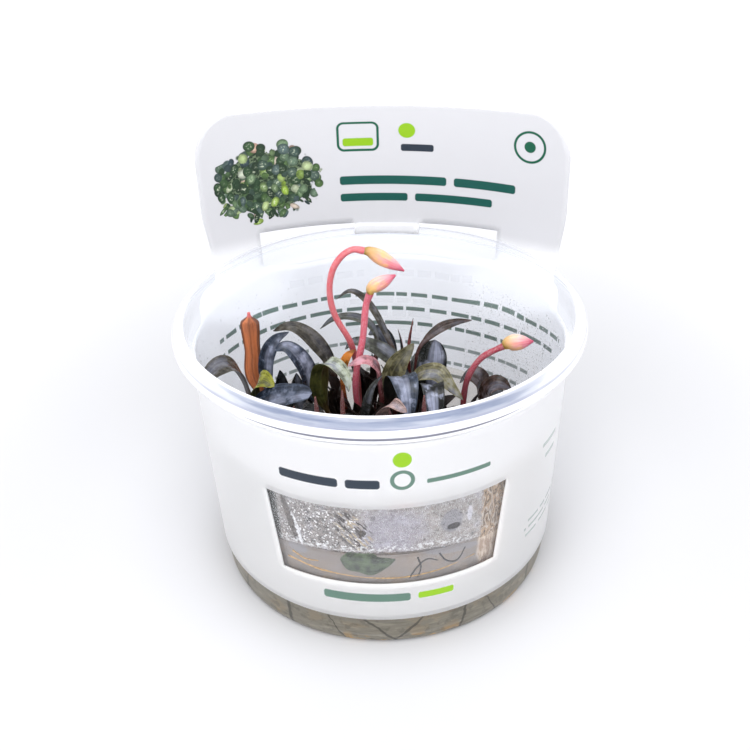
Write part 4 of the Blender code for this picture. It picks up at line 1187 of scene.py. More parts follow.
def outside_print(shade, settings, s, z):
    """What is printed on the side that faces away from the plant."""
    card = plain_card(shade, settings, s, z)
    front = s.sign() * HALF_WAY_ROUND - s
    slate = together([bars(front, z, FRONT_TITLE), text_rows(s, z, BACK_ROWS)])
    colour = shade.mix(slate, card, settings.slate)
    bright = together([inked(off_disc(front, z, *FRONT_DISC)), bar(front, z, *FRONT_LIME_BAR)])
    colour = shade.mix(bright, colour, settings.lime)
    faint = together([bars(front, z, SIDE_BARS), text_rows(front, z, SIDE_ROWS)]) * 0.6
    ink = together([outlined(off_disc(front, z, *FRONT_RING), FRONT_LINE), bars(front, z, FRONT_BARS), faint])
    return shade.mix(ink * 0.9, colour, settings.ink)


def card_material(name, settings, printed):
    """White card that light comes through, with ink that it doesn't come through."""
    shade = Shade(name)
    flat = shade.stretched(shade.uv("flat"), (FLAT_MAP_SIZE, FLAT_MAP_SIZE, 0.0))
    s, z, _ = shade.parts(flat)
    fibres = shade.noise(shade.place(), 1.6, detail=4.0)
    colour = printed(shade, settings, s, z)
    blue = shade.parts(colour)[2]
    shared = {"Base Color": colour, "Roughness": fibres * 0.12 + 0.34, "Specular IOR Level": 0.35,
              "Normal": shade.bump(fibres, 0.08, 0.2)}
    card = shade.surface({**shared, "Subsurface Weight": 0.95, "Subsurface Scale": CARD_GLOW * MM,
                          "Subsurface Radius": (1.0, 1.0, 1.0)})
    ink = shade.surface(shared)
    return shade.done(shade.laid_over(1.0 - blue.rising(0.3, 0.75), card, ink))


def make_sleeve(settings):
    """Cut a flat sheet to the sleeve's outline, wrap it round the cup and give it the card's thickness."""
    corner = HEADER_TOP - HEADER_CORNER
    columns = spaced([-HALF_WAY_ROUND, -window_edge(-1), HEADER_LEFT, SLOT_LEFT, TAB_LEFT, TAB_RIGHT,
                      SLOT_RIGHT, HEADER_RIGHT, window_edge(1), HALF_WAY_ROUND], COLUMN_STEP)
    rows = spaced([SLEEVE_BOTTOM, WINDOW_BOTTOM, WINDOW_TOP, BAND_TOP, LIFT_OFF_DONE, TAB_BOTTOM, TAB_FOLD,
                   SLOT_TOP, HEADER_WAIST_TOP, corner], ROW_STEP)
    rows += [corner + HEADER_CORNER * math.sin(math.pi / 2 * (k + 1) / CORNER_ROWS)
             for k in range(CORNER_ROWS)]
    bm = bmesh.new()
    bmesh.ops.create_grid(bm, x_segments=len(columns) - 1, y_segments=len(rows) - 1, size=0.5)
    for vert in bm.verts:
        column = round((vert.co.x + 0.5) * (len(columns) - 1))
        row = round((vert.co.y + 0.5) * (len(rows) - 1))
        vert.co = (columns[column], rows[row], 0.0)
    waste = [face for face in bm.faces if is_cut_away(*face.calc_center_median().xy)]
    bmesh.ops.delete(bm, geom=waste, context="FACES")
    flat = bm.loops.layers.uv.new("flat")
    for vert in bm.verts:
        s, z = vert.co.xy
        vert.co.x = window_shift(outline_shift(s, z), z)
        for loop in vert.link_loops:
            loop[flat].uv = (vert.co.x / FLAT_MAP_SIZE, z / FLAT_MAP_SIZE)
    for vert in bm.verts:
        s, z = vert.co.xy
        dip = HEADER_DIP * (1.0 - (s / HEADER_RIGHT) ** 2) * smoothstep(corner, HEADER_TOP, z)
        askew = HEADER_TILT * s * smoothstep(BAND_TOP, SLOT_TOP, z)
        vert.co = card_place(s, z) - Vector((0.0, 0.0, dip + askew))
    bmesh.ops.remove_doubles(bm, verts=bm.verts, dist=0.01)
    materials = [card_material("card inside", settings, inside_print),
                 card_material("card outside", settings, outside_print)]
    sleeve = finish_piece("card_sleeve_fine", bm, materials, ["card_sleeve"])
    thickness = sleeve.modifiers.new("card thickness", "SOLIDIFY")
    thickness.thickness = CARD * MM
    thickness.offset = 0.0
    thickness.use_even_offset = True
    thickness.material_offset = 1
    return sleeve


# Rods: leaves, stalks and roots

def smooth_route(points, count):
    """Places evenly spaced along a smooth curve through the points."""
    points = [Vector(p) for p in points]
    ahead = points[1:] + [points[-1] * 2 - points[-2]]
    behind = [points[0] * 2 - points[1]] + points[:-1]
    pull = [(after - before).normalized() / 3.0 for before, after in zip(behind, ahead)]
    fine = [points[0]]
    for k, (start, end) in enumerate(zip(points, points[1:])):
        reach = (end - start).length
        pulls = (start + pull[k] * reach, end - pull[k + 1] * reach)
        fine += geometry.interpolate_bezier(start, *pulls, end, ROUTE_FINENESS + 1)[1:]
    lengths = [0.0]
    for a, b in zip(fine, fine[1:]):
        lengths.append(lengths[-1] + (b - a).length)
    places = []
    at = 1
    for k in range(count):
        wanted = lengths[-1] * k / (count - 1)
        while at < len(lengths) - 1 and lengths[at] < wanted - 1e-9:
            at += 1
        share = (wanted - lengths[at - 1]) / (lengths[at] - lengths[at - 1])
        places.append(fine[at - 1].lerp(fine[at], share))
    return places


def frames_along(route, across, roll=0.0, twist=0.0):
    """The place, across and upper-side directions of each ring of a rod that follows the route."""
    frames = []
    last = len(route) - 1
    for k, place in enumerate(route):
        tangent = (route[min(k + 1, last)] - route[max(k - 1, 0)]).normalized()
        sideways = (across - tangent * across.dot(tangent)).normalized()
        turn = math.radians(roll + twist * smoothstep(0.4, 1.0, k / last))
        sideways = Matrix.Rotation(turn, 3, tangent) @ sideways
        frames.append((place, sideways, sideways.cross(tangent).normalized()))
    return frames


def bent_rod(bm, sides, frames, shape):
    """Add a many-sided rod, cut into rings and bent along the frames. shape(t, x, y) gives where a point of
    the rod's round section (x across, y up, each -1 to 1) goes, in millimetres across and up. Faces of its
    lower half get the second material."""
    last = len(frames) - 1
    rod = bmesh.new()
    bmesh.ops.create_cone(rod, cap_ends=True, segments=sides, radius1=1.0, radius2=1.0, depth=1.0)
    lengthwise = [e for e in rod.edges if abs(e.verts[0].co.z - e.verts[1].co.z) > 0.5]
    bmesh.ops.subdivide_edges(rod, edges=lengthwise, cuts=last - 1, use_grid_fill=True)
    blade = rod.loops.layers.uv.new("blade")
    for face in rod.faces:
        face.material_index = int(face.calc_center_median().y < 0.0)
        for loop in face.loops:
            x, _, z = loop.vert.co
            loop[blade].uv = ((x + 1.0) / 2.0, z + 0.5)
    for vert in rod.verts:
        t = vert.co.z + 0.5
        place, sideways, up = frames[round(t * last)]
        across, height = shape(t, *vert.co.xy)
        vert.co = place - sideways * across + up * height
    join(bm, rod)


def round_rod(bm, sides, frames, radius_at):
    """Add a rod of round section; radius_at(t) gives its radius from 0, its start, to 1, its end."""
    def shape(t, x, y):
        radius = radius_at(t)
        return x * radius, y * radius

    bent_rod(bm, sides, frames, shape)


def foot_of(rhizome, share):
    """The place on a creeping stem's upper side where a leaf or stalk stands."""
    start, end = (Vector((*p, 0.0)) for p in RHIZOMES[rhizome])
    return start.lerp(end, share) + UPWARDS * (GEL_HEIGHT + 2 * GAP + 2 * RHIZOME_RADIUS)


def leaf_side(name, colour, stem_colour, stalk_share, roughness, sheen=0.0, sheen_colour=(1.0, 1.0, 1.0)):
    """One side of a leaf: lengthwise veins, mottling, a painted wet silver sheen in patches, painted rim
    light along its edges and small painted glints.
    """
    shade = Shade(name)
    blade = shade.uv("blade")
    across, along, _ = shade.parts(blade)
    place = shade.place()
    off_midrib = abs(across - 0.5) * 2.0
    mottle = shade.noise(place, 0.5, detail=5.0)
    patches = shade.noise(place, 0.22, detail=2.0)
    fibres = shade.noise(shade.stretched(blade, (14.0, 1.6, 1.0)), 1.0, detail=4.0)
    veins = (across * 38.0 + mottle * 2.0).sine() * 0.5 + 0.5
    base = shade.mix(mottle.rising(0.36, 0.64), scaled(colour, 0.3), scaled(colour, 1.35))
    base = shade.mix(fibres.rising(0.5, 0.72) * 0.35, base, scaled(colour, 2.1))
    base = shade.mix(veins.rising(0.6, 1.0) * 0.16, base, scaled(colour, 0.3))
    # Painted sheen: a silver streak beside the midrib and blotches, standing in for reflected light
    off_streak = (across - 0.36) / 0.34
    streak = (1.0 - off_streak * off_streak).at_least(0.0) * patches.rising(0.36, 0.62)
    blotch = shade.noise(place, 0.5, detail=3.0).rising(0.56, 0.66) * (1.0 - off_midrib.rising(0.75, 0.95))
    wet = (streak + blotch * 0.45).at_most(1.0) * (fibres.rising(0.34, 0.62) * 0.35 + 0.65)
    base = shade.mix(wet * sheen, base, sheen_colour)
    base = shade.mix((1.0 - off_midrib.rising(0.0, 0.1)) * 0.35, base, scaled(colour, 2.2))
    # Paler edges: painted rim light
    base = shade.mix(off_midrib.rising(0.88, 1.0) * 0.35, base, scaled(colour, 2.4))
    on_stalk = 1.0 - along.rising(stalk_share * 0.7, stalk_share + 0.12)
    base = shade.mix(on_stalk * 0.92, base, stem_colour)
    # Small painted glints of light
    specks = 1.0 - shade.cells(place, 2.2).rising(0.05, 0.2)
    base = shade.mix(specks * 0.35, base, scaled(colour, 4.5))
    height = veins * 0.35 + fibres * 0.8 + mottle * 0.5
    return shade.done(shade.surface({"Base Color": base, "Roughness": mottle * 0.25 + roughness,
                                     "Specular IOR Level": 0.25, "Coat Weight": 0.15,
                                     "Coat Roughness": 0.08, "Normal": shade.bump(height, 0.6, 0.2)}))


def make_leaf(name, settings):
    """One leaf: a thin blade with a midrib and waving edges, and the stalk that it stands on."""
    (rhizome, share, points, width, roll, stalk_share), looks = LEAVES[name]
    upper, under, wave, twist, blunt, sheen = looks
    sides, rings = LEAF_FINENESS
    route = smooth_route([foot_of(rhizome, share), *points], rings)
    heading = route[-1] - route[len(route) // 2]
    across = heading.cross(UPWARDS).normalized()
    frames = frames_along(route, across, roll, twist)
    phase = random.uniform(0.0, math.tau)
    lopsided = random.uniform(-0.06, 0.06)

    def shape(t, x, y):
        u = max(0.0, (t - stalk_share) / (1.0 - stalk_share))
        fullness = 0.8 - 0.45 * blunt * smoothstep(0.3, 0.7, u)
        blade = width / 2 * math.sin(math.pi * u ** 0.8) ** fullness if 0.0 < u < 0.999 else 0.0
        ragged = 1.0 + 0.05 * math.sin(11 * u + phase) + lopsided * math.copysign(1.0, x)
        half_width = max(blade * ragged, PETIOLE_WIDTH / 2 * min(1.0, 3.0 * (1.0 - t) + 0.12))
        flat = smoothstep(0.0, 0.4, u)
        thickness = (PETIOLE_WIDTH + (LEAF_THICKNESS - PETIOLE_WIDTH) * flat) / 2
        thickness *= min(1.0, 4 * (1 - t) + 0.25)
        rib = MIDRIB_DEPTH * flat * math.exp(-(x / 0.1) ** 2) * (y < 0) * min(1.0, 4 * (1 - t))
        groove = GROOVE_DEPTH * flat * math.exp(-(x / 0.08) ** 2) * (y > 0) * min(1.0, 3 * (1 - t))
        edge = wave * settings.wave * 0.16 * blade * x * x * math.sin(15 * u + phase + 1.4 * (x > 0))
        return x * half_width, y * thickness - rib - groove + 0.22 * blade * x * x + edge

    bm = bmesh.new()
    bent_rod(bm, sides, frames, shape)
    stem = scaled(settings.red, 0.55)
    materials = [leaf_side(f"{name} upper side", getattr(settings, upper), stem, stalk_share, 0.14, sheen,
                           settings.sheen),
                 leaf_side(f"{name} underside", getattr(settings, under), stem, stalk_share, 0.3)]
    return finish_piece(f"{name}_fine", bm, materials, [name])


def make_low_growth(settings):
    """Short leaves that crowd at the creeping stems, joined in one piece."""
    sides, rings = LOW_LEAF_FINENESS
    bm = bmesh.new()
    for start, end in RHIZOMES:
        along = Vector((*end, 0.0)) - Vector((*start, 0.0))
        for k in range(LOW_LEAVES):
            foot = Vector((*start, GEL_HEIGHT + GAP + RHIZOME_RADIUS)) + along * ((k + 0.5) / LOW_LEAVES)
            turn = random.uniform(0.0, math.tau)
            lean = Vector((math.cos(turn), 0.75 * math.sin(turn), 0.0))
            reach = random.uniform(*LOW_LEAF_REACH)
            rise = random.uniform(*LOW_LEAF_RISE) + 6.0 * math.exp(-(foot.x / 16.0) ** 2)
            middle = foot + lean * reach * 0.45 + UPWARDS * rise * 0.8
            tip = foot + lean * reach + UPWARDS * rise
            width = random.uniform(*LOW_LEAF_WIDTH)
            route = smooth_route([foot, middle, tip], rings)
            roll = random.uniform(-LOW_LEAF_ROLL, LOW_LEAF_ROLL)
            frames = frames_along(route, lean.cross(UPWARDS), roll)

            def shape(t, x, y, width=width):
                blade = width / 2 * math.sin(math.pi * max(0.0, (t - 0.3) / 0.7)) if t < 0.999 else 0.0
                half_width = max(blade, 0.45 * min(1.0, 3 * (1 - t) + 0.15))
                return x * half_width, y * 0.4 * min(1.0, 3 * (1 - t) + 0.2) + 0.25 * blade * x * x

            bent_rod(bm, sides, frames, shape)
    stem = scaled(settings.red, 0.5)
    materials = [leaf_side("low leaves upper side", scaled(settings.brown, 0.3), stem, 0.35, 0.25),
                 leaf_side("low leaves underside", scaled(settings.brown, 0.25), stem, 0.35, 0.45)]
    return finish_piece("low_growth", bm, materials)


def make_low_stalks(settings):
    """Red leaf stalks that show between the leaves at the front."""
    sides, rings = LOW_STALK_FINENESS
    bm = bmesh.new()
    for foot, top in LOW_STALKS:
        low = Vector((*foot, GEL_HEIGHT + 2.0))
        top = Vector(top)
        route = smooth_route([low, low.lerp(top, 0.5) + Vector((0.6, -0.5, 0.0)), top], rings)

        def radius_at(t):
            return PETIOLE_WIDTH / 2 * (1.0 + 0.05 * math.sin(20 * t)) * min(1.0, 5 * (1 - t) + 0.3)

        round_rod(bm, sides, frames_along(route, RIGHTWARDS), radius_at)
    material = stalk_material("leaf stalks", settings.red)
    return finish_piece("low_stalks", bm, [material, material])


def rhizome_material():
    shade = Shade("creeping stem")
    place = shade.place()
    bark = shade.noise(place, 0.9, detail=6.0)
    base = shade.ramp(bark, [(0.3, tone(46, 38, 22)), (0.5, tone(88, 78, 46)), (0.7, tone(122, 104, 66))])
    surface = shade.surface({"Base Color": base, "Roughness": bark * 0.3 + 0.35,
                             "Normal": shade.bump(bark, 0.8, 0.5)})
    return shade.done(surface)


def make_rhizomes():
    """The creeping stems, finely ringed and blunt at both ends."""
    sides, rings = RHIZOME_FINENESS
    material = rhizome_material()
    for number, (start, end) in enumerate(RHIZOMES, start=1):
        height = GEL_HEIGHT + GAP + RHIZOME_RADIUS
        route = smooth_route([(*start, height), (*end, height)], rings)
        along = (route[-1] - route[0]).normalized()
        phase = random.uniform(0.0, math.tau)

        def radius_at(t, phase=phase):
            swelling = (0.72 + 0.26 * math.sin(math.pi * t)) * (0.95 + 0.05 * math.sin(60 * t + phase))
            return RHIZOME_RADIUS * swelling * min(1.0, 8 * t + 0.3, 8 * (1 - t) + 0.3)

        bm = bmesh.new()
        round_rod(bm, sides, frames_along(route, along.cross(UPWARDS)), radius_at)
        finish_piece(f"rhizome_{number}_fine", bm, [material, material], [f"rhizome_{number}"])


def stalk_material(name, colour):
    """A juicy stalk, finely speckled and darker towards its foot."""
    shade = Shade(name)
    place = shade.place()
    along = shade.parts(shade.uv("blade"))[1]
    specks = shade.noise(place, 5.5, detail=2.0).rising(0.48, 0.6)
    base = shade.mix(specks * 0.5, colour, tuple(part * 0.5 + 0.4 for part in colour))
    base = shade.mix((1.0 - along.rising(0.15, 0.75)) * 0.65, base, scaled(colour, 0.45))
    surface = shade.surface({"Base Color": base, "Roughness": 0.34, "Subsurface Weight": 0.15,
                             "Subsurface Scale": 0.001, "Normal": shade.bump(specks, 0.3, 0.08)})
    return shade.done(surface)


def spathe_material(name):
    """Waxy: yellow-olive at its base, peach in the middle, pink at the tip and on its lower side; its paler
    upper side is partly a painted highlight, its deeper lower side partly painted shade.
    """
    shade = Shade(name)
    across, along, _ = shade.parts(shade.uv("blade"))
    place = shade.place()
    cloud = shade.noise(place, 0.5, detail=3.0) - 0.5
    length = along + cloud * 0.12
    upper = shade.ramp(length, [(0.0, tone(140, 118, 42)), (0.1, tone(192, 158, 76)),
                                (0.26, tone(236, 206, 166)), (0.5, tone(248, 216, 206)),
                                (0.82, tone(238, 172, 182)), (0.97, tone(190, 70, 102))])
    lower = shade.ramp(length, [(0.0, tone(146, 112, 50)), (0.16, tone(206, 152, 104)),
                                (0.34, tone(224, 138, 132)), (0.7, tone(212, 104, 122)),
                                (0.97, tone(176, 56, 86))])
    streaks = shade.noise(shade.stretched(shade.uv("blade"), (34.0, 1.3, 1.0)), 1.0, detail=3.0)
    gold = shade.noise(place, 0.3, detail=2.0).rising(0.5, 0.62) * (1.0 - along.rising(0.5, 0.8))
    # Upper side paler, lower side deeper: partly the spathe's own colours, partly painted highlight and
    # painted shade
    base = shade.mix(streaks.rising(0.36, 0.66) * 0.55 + across.rising(0.55, 1.0) * 0.5, upper, lower)
    base = shade.mix(gold * 0.5, base, tone(232, 196, 104))
    surface = shade.surface({"Base Color": base, "Roughness": 0.3, "Subsurface Weight": 0.25,
                             "Subsurface Scale": 0.0012, "Normal": shade.bump(streaks, 0.25, 0.15)})
    return shade.done(surface)


def make_flowers(settings):
    """The flower stalks, then the closed spathe at the end of each."""
    sides, rings = STALK_FINENESS
    ends = {}
    for name, (rhizome, share, points, thickness, colour) in FLOWER_STALKS.items():
        route = smooth_route([foot_of(rhizome, share), *points], rings)

        def radius_at(t, radius=thickness / 2):
            return radius * (1.0 + 0.04 * math.sin(31 * t)) * (1.0 + 0.18 * smoothstep(0.94, 1.0, t))

        bm = bmesh.new()
        round_rod(bm, sides, frames_along(route, BACKWARDS), radius_at)
        material = stalk_material(name.replace("_", " "), getattr(settings, colour))
        finish_piece(f"{name}_fine", bm, [material, material], [name])
        ends[name] = (route[-1], (route[-1] - route[-2]).normalized())
    sides, rings = SPATHE_FINENESS
    for name, (stalk, tip, thickness) in SPATHES.items():
        end, direction = ends[stalk]
        start = end + direction * GAP * 0.2
        neck = start + direction * SPATHE_NECK
        route = smooth_route([start, neck, neck.lerp(Vector(tip), 0.5), tip], rings)

        def shape(t, x, y, thickness=thickness):
            if t < 0.8:
                radius = thickness / 2 * (0.42 + 0.58 * math.sin(math.pi * min(1.0, t * 1.15 + 0.02)) ** 0.8)
            else:
                radius = thickness / 2 * max(0.14, 0.57 - 2.3 * (t - 0.8))
            turn = math.atan2(y, x)
            overlap = smoothstep(-0.4, 0.0, math.sin(turn - 1.2 * t - 0.9)) * smoothstep(0.1, 0.3, t)
            radius += 0.07 * radius * overlap
            return x * radius, y * radius

        bm = bmesh.new()
        bent_rod(bm, sides, frames_along(route, BACKWARDS), shape)
        material = spathe_material(name.replace("_", " "))
        finish_piece(f"{name}_fine", bm, [material, material], [name])


def withered_material(colour):
    shade = Shade("withered spathe")
    across, along, _ = shade.parts(shade.uv("blade"))
    place = shade.place()
    streaks = shade.noise(shade.stretched(shade.uv("blade"), (16.0, 2.2, 1.0)), 1.0, detail=5.0)
    across = across + (shade.noise(place, 0.35, detail=3.0) - 0.5) * 0.12
    # Darker at the rolled edges and the lengthwise fold: the drier edges' own brown with painted shade in the
    # folds
    folds = [(0.0, 0.25), (0.12, 0.4), (0.2, 1.2), (0.45, 1.0), (0.52, 0.65), (0.6, 1.25), (0.84, 1.5),
             (0.92, 0.45), (1.0, 0.3)]
    base = shade.ramp(across, [(at, scaled(colour, strength)) for at, strength in folds])
    base = shade.mix(streaks.rising(0.52, 0.7) * 0.45, base, scaled(colour, 0.45))
    base = shade.mix(streaks.rising(0.3, 0.42) * -0.55 + 0.55, base, tone(226, 158, 124))
    dull = along.rising(0.78, 0.93) * 0.5
    base = shade.mix(dull * streaks.rising(0.4, 0.55), base, tone(92, 66, 60))
    base = shade.mix(along.rising(0.96, 0.985), base, tone(226, 120, 120))
    wrinkles = streaks + shade.noise(place, 1.4, detail=4.0) * 0.7
    surface = shade.surface({"Base Color": base, "Roughness": 0.5, "Normal": shade.bump(wrinkles, 0.7, 0.4)})
    return shade.done(surface)


def make_withered(settings):
    """The old spathe: a dry blade with rolled edges and a lengthwise fold."""
    rhizome, share, points, width = WITHERED
    sides, rings = WITHERED_FINENESS
    frames = frames_along(smooth_route([foot_of(rhizome, share), *points], rings), RIGHTWARDS)

    def shape(t, x, y):
        flat = smoothstep(0.25, 0.5, t)
        pinch = 1.0 - 0.82 * smoothstep(0.925, 0.98, t)
        pinch *= 0.8 + 0.2 * smoothstep(0.0, 0.2, abs(t - 0.72))
        half_width = (PETIOLE_WIDTH + (width - PETIOLE_WIDTH) * flat) / 2 * pinch
        half_width *= 1.0 + 0.07 * flat * math.sin(9 * t + 1.0)
        thickness = (0.6 + 0.5 * flat) * (1.0 - 0.6 * smoothstep(0.93, 0.985, t))
        rolled = flat * (0.55 * smoothstep(0.55, 1.0, abs(x)) - 0.3 * math.exp(-((x + 0.45) / 0.12) ** 2))
        return x * half_width, y * thickness + (y > 0) * rolled * (1.0 - smoothstep(0.9, 0.98, t))

    bm = bmesh.new()
    bent_rod(bm, sides, frames, shape)
    material = withered_material(settings.withered)
    return finish_piece("spathe_withered_fine", bm, [material, material], ["spathe_withered"])


# Roots, sunken leaf and drops

def root_material(name, colour):
    shade = Shade(name)
    bark = shade.noise(shade.place(), 1.3, detail=4.0)
    base = shade.mix(bark.rising(0.3, 0.7), scaled(colour, 0.6), scaled(colour, 1.4))
    return shade.done(shade.surface({"Base Color": base, "Roughness": 0.5}))


def against_wall(angle, z, depth):
    """The place inside the wall at an angle from the front in degrees, a height and a depth."""
    radius = wall_inner(z) - depth
    turn = math.radians(angle)
    return Vector((radius * math.sin(turn), -radius * math.cos(turn), z))


def add_root(bm, points, radius):
    sides, rings = ROOT_FINENESS
    frames = frames_along(smooth_route(points, rings), Vector((0.31, 0.2, 0.93)))
    round_rod(bm, sides, frames, lambda t: radius * (1.0 - 0.45 * t) * (1.0 + 0.08 * math.sin(40 * t)))


def make_roots(settings):
    """Roots in the gel: those that show at the front and fainter ones under each creeping stem."""
    for kind, colour in (("dark", settings.dark_root), ("straw", settings.straw_root)):
        bm = bmesh.new()
        for places, thickness, of_kind in WALL_ROOTS:
            if of_kind == kind:
                depth = ROOT_DEPTH + thickness / 2
                add_root(bm, [against_wall(angle, z, depth) for angle, z in places], thickness / 2)
        for start, end in RHIZOMES:
            for k in range(ROOTS_PER_STEM):
                if (k % 3 == 0) != (kind == "straw"):
                    continue
                top = Vector((*start, 0.0)).lerp(Vector((*end, 0.0)), (k + 0.5) / ROOTS_PER_STEM)
                outward = Vector((random.uniform(-1, 1), random.uniform(-1, 1), 0.0)) * ROOT_SPREAD
                middle = top + outward * 0.5 + Vector((0.0, 0.0, GEL_HEIGHT * random.uniform(0.4, 0.65)))
                low = top + outward + Vector((0.0, 0.0, random.uniform(2.0, 6.0)))
                limit = wall_inner(low.z) - ROOT_CLEARANCE
                if low.xy.length > limit:
                    low.xy = low.xy.normalized() * limit
                top.z = GEL_HEIGHT - 0.6
                add_root(bm, [top, middle, low, low + outward * 0.15 + Vector((2.5, 0.0, -0.6))],
                         random.uniform(*ROOT_RADIUS))
        material = root_material(f"{kind} roots", colour)
        finish_piece(f"roots_{kind}", bm, [material, material])


def make_sunken_leaf():
    """A leaf that lies sunk in the gel against the front wall."""
    sides, rings = SUNKEN_LEAF_FINENESS
    route = smooth_route([against_wall(angle, z, SUNKEN_LEAF_DEPTH) for angle, z in SUNKEN_LEAF], rings)

    def shape(t, x, y):
        fullness = 1.0 - abs(2.0 * t ** 0.75 - 1.0) ** 2.2 if 0.0 < t < 0.999 else 0.0
        blade = SUNKEN_LEAF_HALF_WIDTH * fullness * (1.0 + 0.12 * math.sin(14.0 * t))
        return x * max(0.2, blade), y * SUNKEN_LEAF_HALF_THICKNESS

    bm = bmesh.new()
    bent_rod(bm, sides, frames_along(route, UPWARDS), shape)
    colour = tone(70, 82, 56)
    materials = [leaf_side(f"sunken leaf {side}", colour, colour, 0.0, 0.4)
                 for side in ("upper side", "underside")]
    return finish_piece("sunken_leaf", bm, materials)


def water_material():
    shade = Shade("water drops")
    ripple = shade.noise(shade.place(), 2.0, detail=2.0)
    return shade.done(shade.surface({"Base Color": (1.0, 1.0, 1.0), "Roughness": ripple * 0.05, "IOR": 1.33,
                                     "Transmission Weight": 1.0, "Normal": shade.bump(ripple, 0.2, 0.1)}))


def make_drops():
    """Drops that hang on the inside of the wall."""
    places = [(math.radians(angle), z, radius) for angle, z, radius in LONE_DROPS]
    for count, (left, right), (low, high), (small, large) in DROP_FIELDS:
        for _ in range(count):
            size = small + (large - small) * random.random() ** 2
            places.append((math.radians(random.uniform(left, right)), random.uniform(low, high), size))
    draft = math.atan((WALL_RADIUS_TOP - WALL_RADIUS_FOOT) / WALL_TOP)
    bm = bmesh.new()
    for angle, z, radius in places:
        away = wall_inner(z) - 0.02
        at = Matrix.Translation((away * math.sin(angle), -away * math.cos(angle), z))
        facing = Matrix.Rotation(angle, 4, "Z") @ Matrix.Rotation(math.pi / 2 + draft, 4, "X")
        size = Matrix.Diagonal((radius, radius * random.uniform(0.95, 1.2), radius * DROP_FLATNESS, 1.0))
        drop = bmesh.new()
        bmesh.ops.create_uvsphere(drop, u_segments=DROP_SEGMENTS[0], v_segments=DROP_SEGMENTS[1], radius=1.0,
                                  matrix=at @ facing @ size)
        join(bm, drop)
    return finish_piece("condensed_drops", bm, [water_material()])


# Stage

def floor_material(settings):
    shade = Shade("floor")
    place = shade.place()
    x, y, _ = shade.parts(place)
    grain = shade.noise(place, 0.02, detail=2.0)
    # Greyer near the cup and white far off: painted light falloff
    far_off = ((x * x + y * y) ** 0.5).rising(*FLOOR_FADE)
    base = shade.mix(grain * 0.2, settings.floor, scaled(settings.floor, 0.98))
    base = shade.mix(far_off, base, tone(253, 253, 255))
    return shade.done(shade.surface({"Base Color": base, "Roughness": 0.7, "Specular IOR Level": 0.2}))


def soft_light(name, place, width, power):
    light = bpy.data.lights.new(name, "AREA")
    light.shape = "DISK"
    light.size = width
    light.energy = power
    lamp = bpy.data.objects.new(name, light)
    lamp.location = place
    lamp.rotation_mode = "QUATERNION"
    lamp.rotation_quaternion = (Vector(LIGHT_TARGET) - Vector(place)).to_track_quat("-Z", "Y")
    bpy.context.scene.collection.objects.link(lamp)


def make_stage(settings):
    """The floor, the room's even light and the soft lights."""
    bm = bmesh.new()
    bmesh.ops.create_grid(bm, x_segments=1, y_segments=1, size=FLOOR_HALF_WIDTH)
    mesh = bpy.data.meshes.new("floor")
    bm.to_mesh(mesh)
    bm.free()
    mesh.materials.append(floor_material(settings))
    floor = bpy.data.objects.new("floor", mesh)
    bpy.context.scene.collection.objects.link(floor)
    scene = bpy.context.scene
    world = bpy.data.worlds.new("room")
    world.use_nodes = True
    background = world.node_tree.nodes["Background"]
    background.inputs["Color"].default_value = ROOM_COLOUR
    background.inputs["Strength"].default_value = settings.sky
    scene.world = world
    scene.view_settings.view_transform = "Standard"
    scene.cycles.transparent_max_bounces = MOST_CLEAR_BOUNCES
    scene.cycles.max_bounces = MOST_BOUNCES
    for name, (place, width, setting, share) in SOFT_LIGHTS.items():
        soft_light(name, place, width, getattr(settings, setting) * share)


def make_camera():
    """A camera that stands where the photograph's did."""
    camera = bpy.data.cameras.new("camera")
    camera.sensor_width = SENSOR
    camera.lens = LENS_SHARE * SENSOR
    camera.shift_x = CAMERA_SHIFT
    camera.clip_start = 0.01
    holder = bpy.data.objects.new("camera", camera)
    tilt = math.radians(CAMERA_ELEVATION)
    holder.location = (0.0, -CAMERA_DISTANCE * math.cos(tilt) * MM,
                       (CAMERA_TARGET_HEIGHT + CAMERA_DISTANCE * math.sin(tilt)) * MM)
    look = Vector((0.0, math.cos(tilt), -math.sin(tilt))).to_track_quat("-Z", "Y").to_matrix().to_4x4()
    turned_camera = look @ Matrix.Rotation(math.radians(CAMERA_ROLL), 4, "Z")
    holder.rotation_euler = turned_camera.to_euler()
    bpy.context.scene.collection.objects.link(holder)
    bpy.context.scene.camera = holder


class CULTURECUP_OT_stage(bpy.types.Operator):
    """Make the floor, the light and the camera"""
    bl_idname = "culturecup.stage"
    bl_label = "Stage"

    def execute(self, context):
        make_stage(context.scene.culture_stage)
        make_camera()
        return {"FINISHED"}


class CULTURECUP_OT_cup(bpy.types.Operator):
    """Make the clear cup with the mist on its wall"""
    bl_idname = "culturecup.cup"
    bl_label = "Cup"

    def execute(self, context):
        make_cup(context.scene.culture_cup)
        return {"FINISHED"}


class CULTURECUP_OT_drops(bpy.types.Operator):
    """Make the drops on the inside of the wall"""
    bl_idname = "culturecup.drops"
    bl_label = "Drops"

    def execute(self, context):
        random.seed(31)
        make_drops()
        return {"FINISHED"}


class CULTURECUP_OT_gel(bpy.types.Operator):
    """Make the gel with its roots and the leaf sunk in it"""
    bl_idname = "culturecup.gel"
    bl_label = "Gel and roots"

    def execute(self, context):
        random.seed(12)
        make_gel(context.scene.culture_gel)
        make_roots(context.scene.culture_gel)
        make_sunken_leaf()
        return {"FINISHED"}


class CULTURECUP_OT_sleeve(bpy.types.Operator):
    """Make the printed card sleeve with its header"""
    bl_idname = "culturecup.sleeve"
    bl_label = "Card sleeve"

    def execute(self, context):
        make_sleeve(context.scene.culture_sleeve)
        return {"FINISHED"}


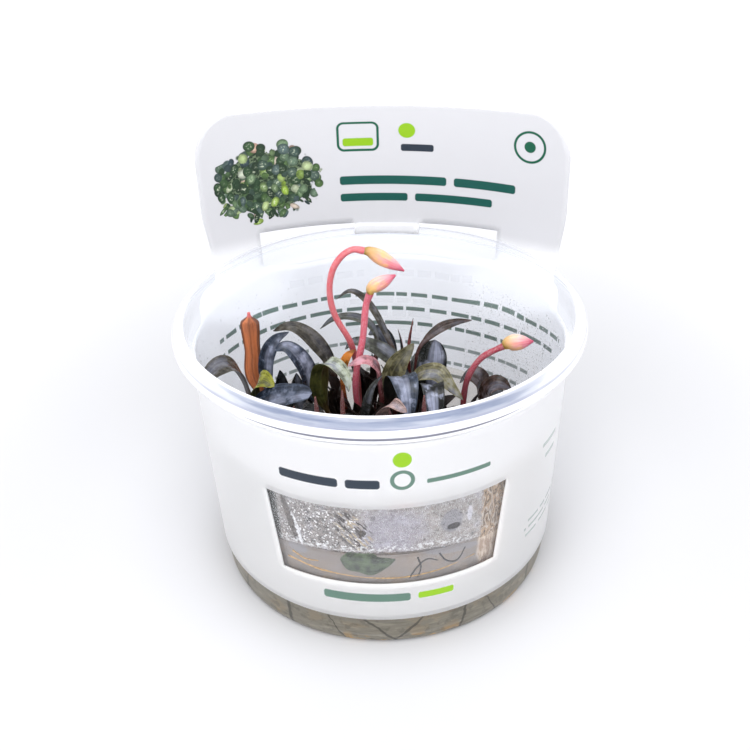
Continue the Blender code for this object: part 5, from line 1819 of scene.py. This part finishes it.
class CULTURECUP_OT_leaves(bpy.types.Operator):
    """Make the creeping stems, the leaves and the low growth between them"""
    bl_idname = "culturecup.leaves"
    bl_label = "Leaves"

    def execute(self, context):
        random.seed(5)
        plant = context.scene.culture_plant
        make_rhizomes()
        for name in LEAVES:
            make_leaf(name, plant)
        make_low_growth(plant)
        make_low_stalks(plant)
        return {"FINISHED"}


class CULTURECUP_OT_flowers(bpy.types.Operator):
    """Make the flower stalks with their spathes, and the withered one"""
    bl_idname = "culturecup.flowers"
    bl_label = "Flowers"

    def execute(self, context):
        make_flowers(context.scene.culture_plant)
        make_withered(context.scene.culture_plant)
        return {"FINISHED"}


class CULTURECUP_PT_pieces(bpy.types.Panel):
    """Lists the pieces of the cup, the plant and the stage"""
    bl_idname = "CULTURECUP_PT_pieces"
    bl_label = "Culture cup"
    bl_space_type = "VIEW_3D"
    bl_region_type = "UI"
    bl_category = "Culture cup"

    def draw(self, context):
        for operator in OPERATORS:
            self.layout.operator(operator.bl_idname)
        for group in SETTINGS:
            held = getattr(context.scene, group)
            box = self.layout.box()
            box.label(text=SETTINGS[group].__doc__)
            for name in SETTINGS[group].__annotations__:
                box.prop(held, name)


OPERATORS = [CULTURECUP_OT_stage, CULTURECUP_OT_cup, CULTURECUP_OT_drops, CULTURECUP_OT_gel,
             CULTURECUP_OT_sleeve, CULTURECUP_OT_leaves, CULTURECUP_OT_flowers]
SETTINGS = {"culture_stage": StageSettings, "culture_cup": CupSettings, "culture_gel": GelSettings,
            "culture_sleeve": SleeveSettings, "culture_plant": PlantSettings}


def register():
    for name, group in SETTINGS.items():
        bpy.utils.register_class(group)
        setattr(bpy.types.Scene, name, PointerProperty(type=group))
    for made in [*OPERATORS, CULTURECUP_PT_pieces]:
        bpy.utils.register_class(made)


def unregister():
    for made in [CULTURECUP_PT_pieces, *reversed(OPERATORS)]:
        bpy.utils.unregister_class(made)
    for name, group in reversed(SETTINGS.items()):
        delattr(bpy.types.Scene, name)
        bpy.utils.unregister_class(group)


def main():
    register()
    bpy.ops.culturecup.stage()
    bpy.ops.culturecup.cup()
    bpy.ops.culturecup.drops()
    bpy.ops.culturecup.gel()
    bpy.ops.culturecup.sleeve()
    bpy.ops.culturecup.leaves()
    bpy.ops.culturecup.flowers()


if __name__ == "__main__":
    main()
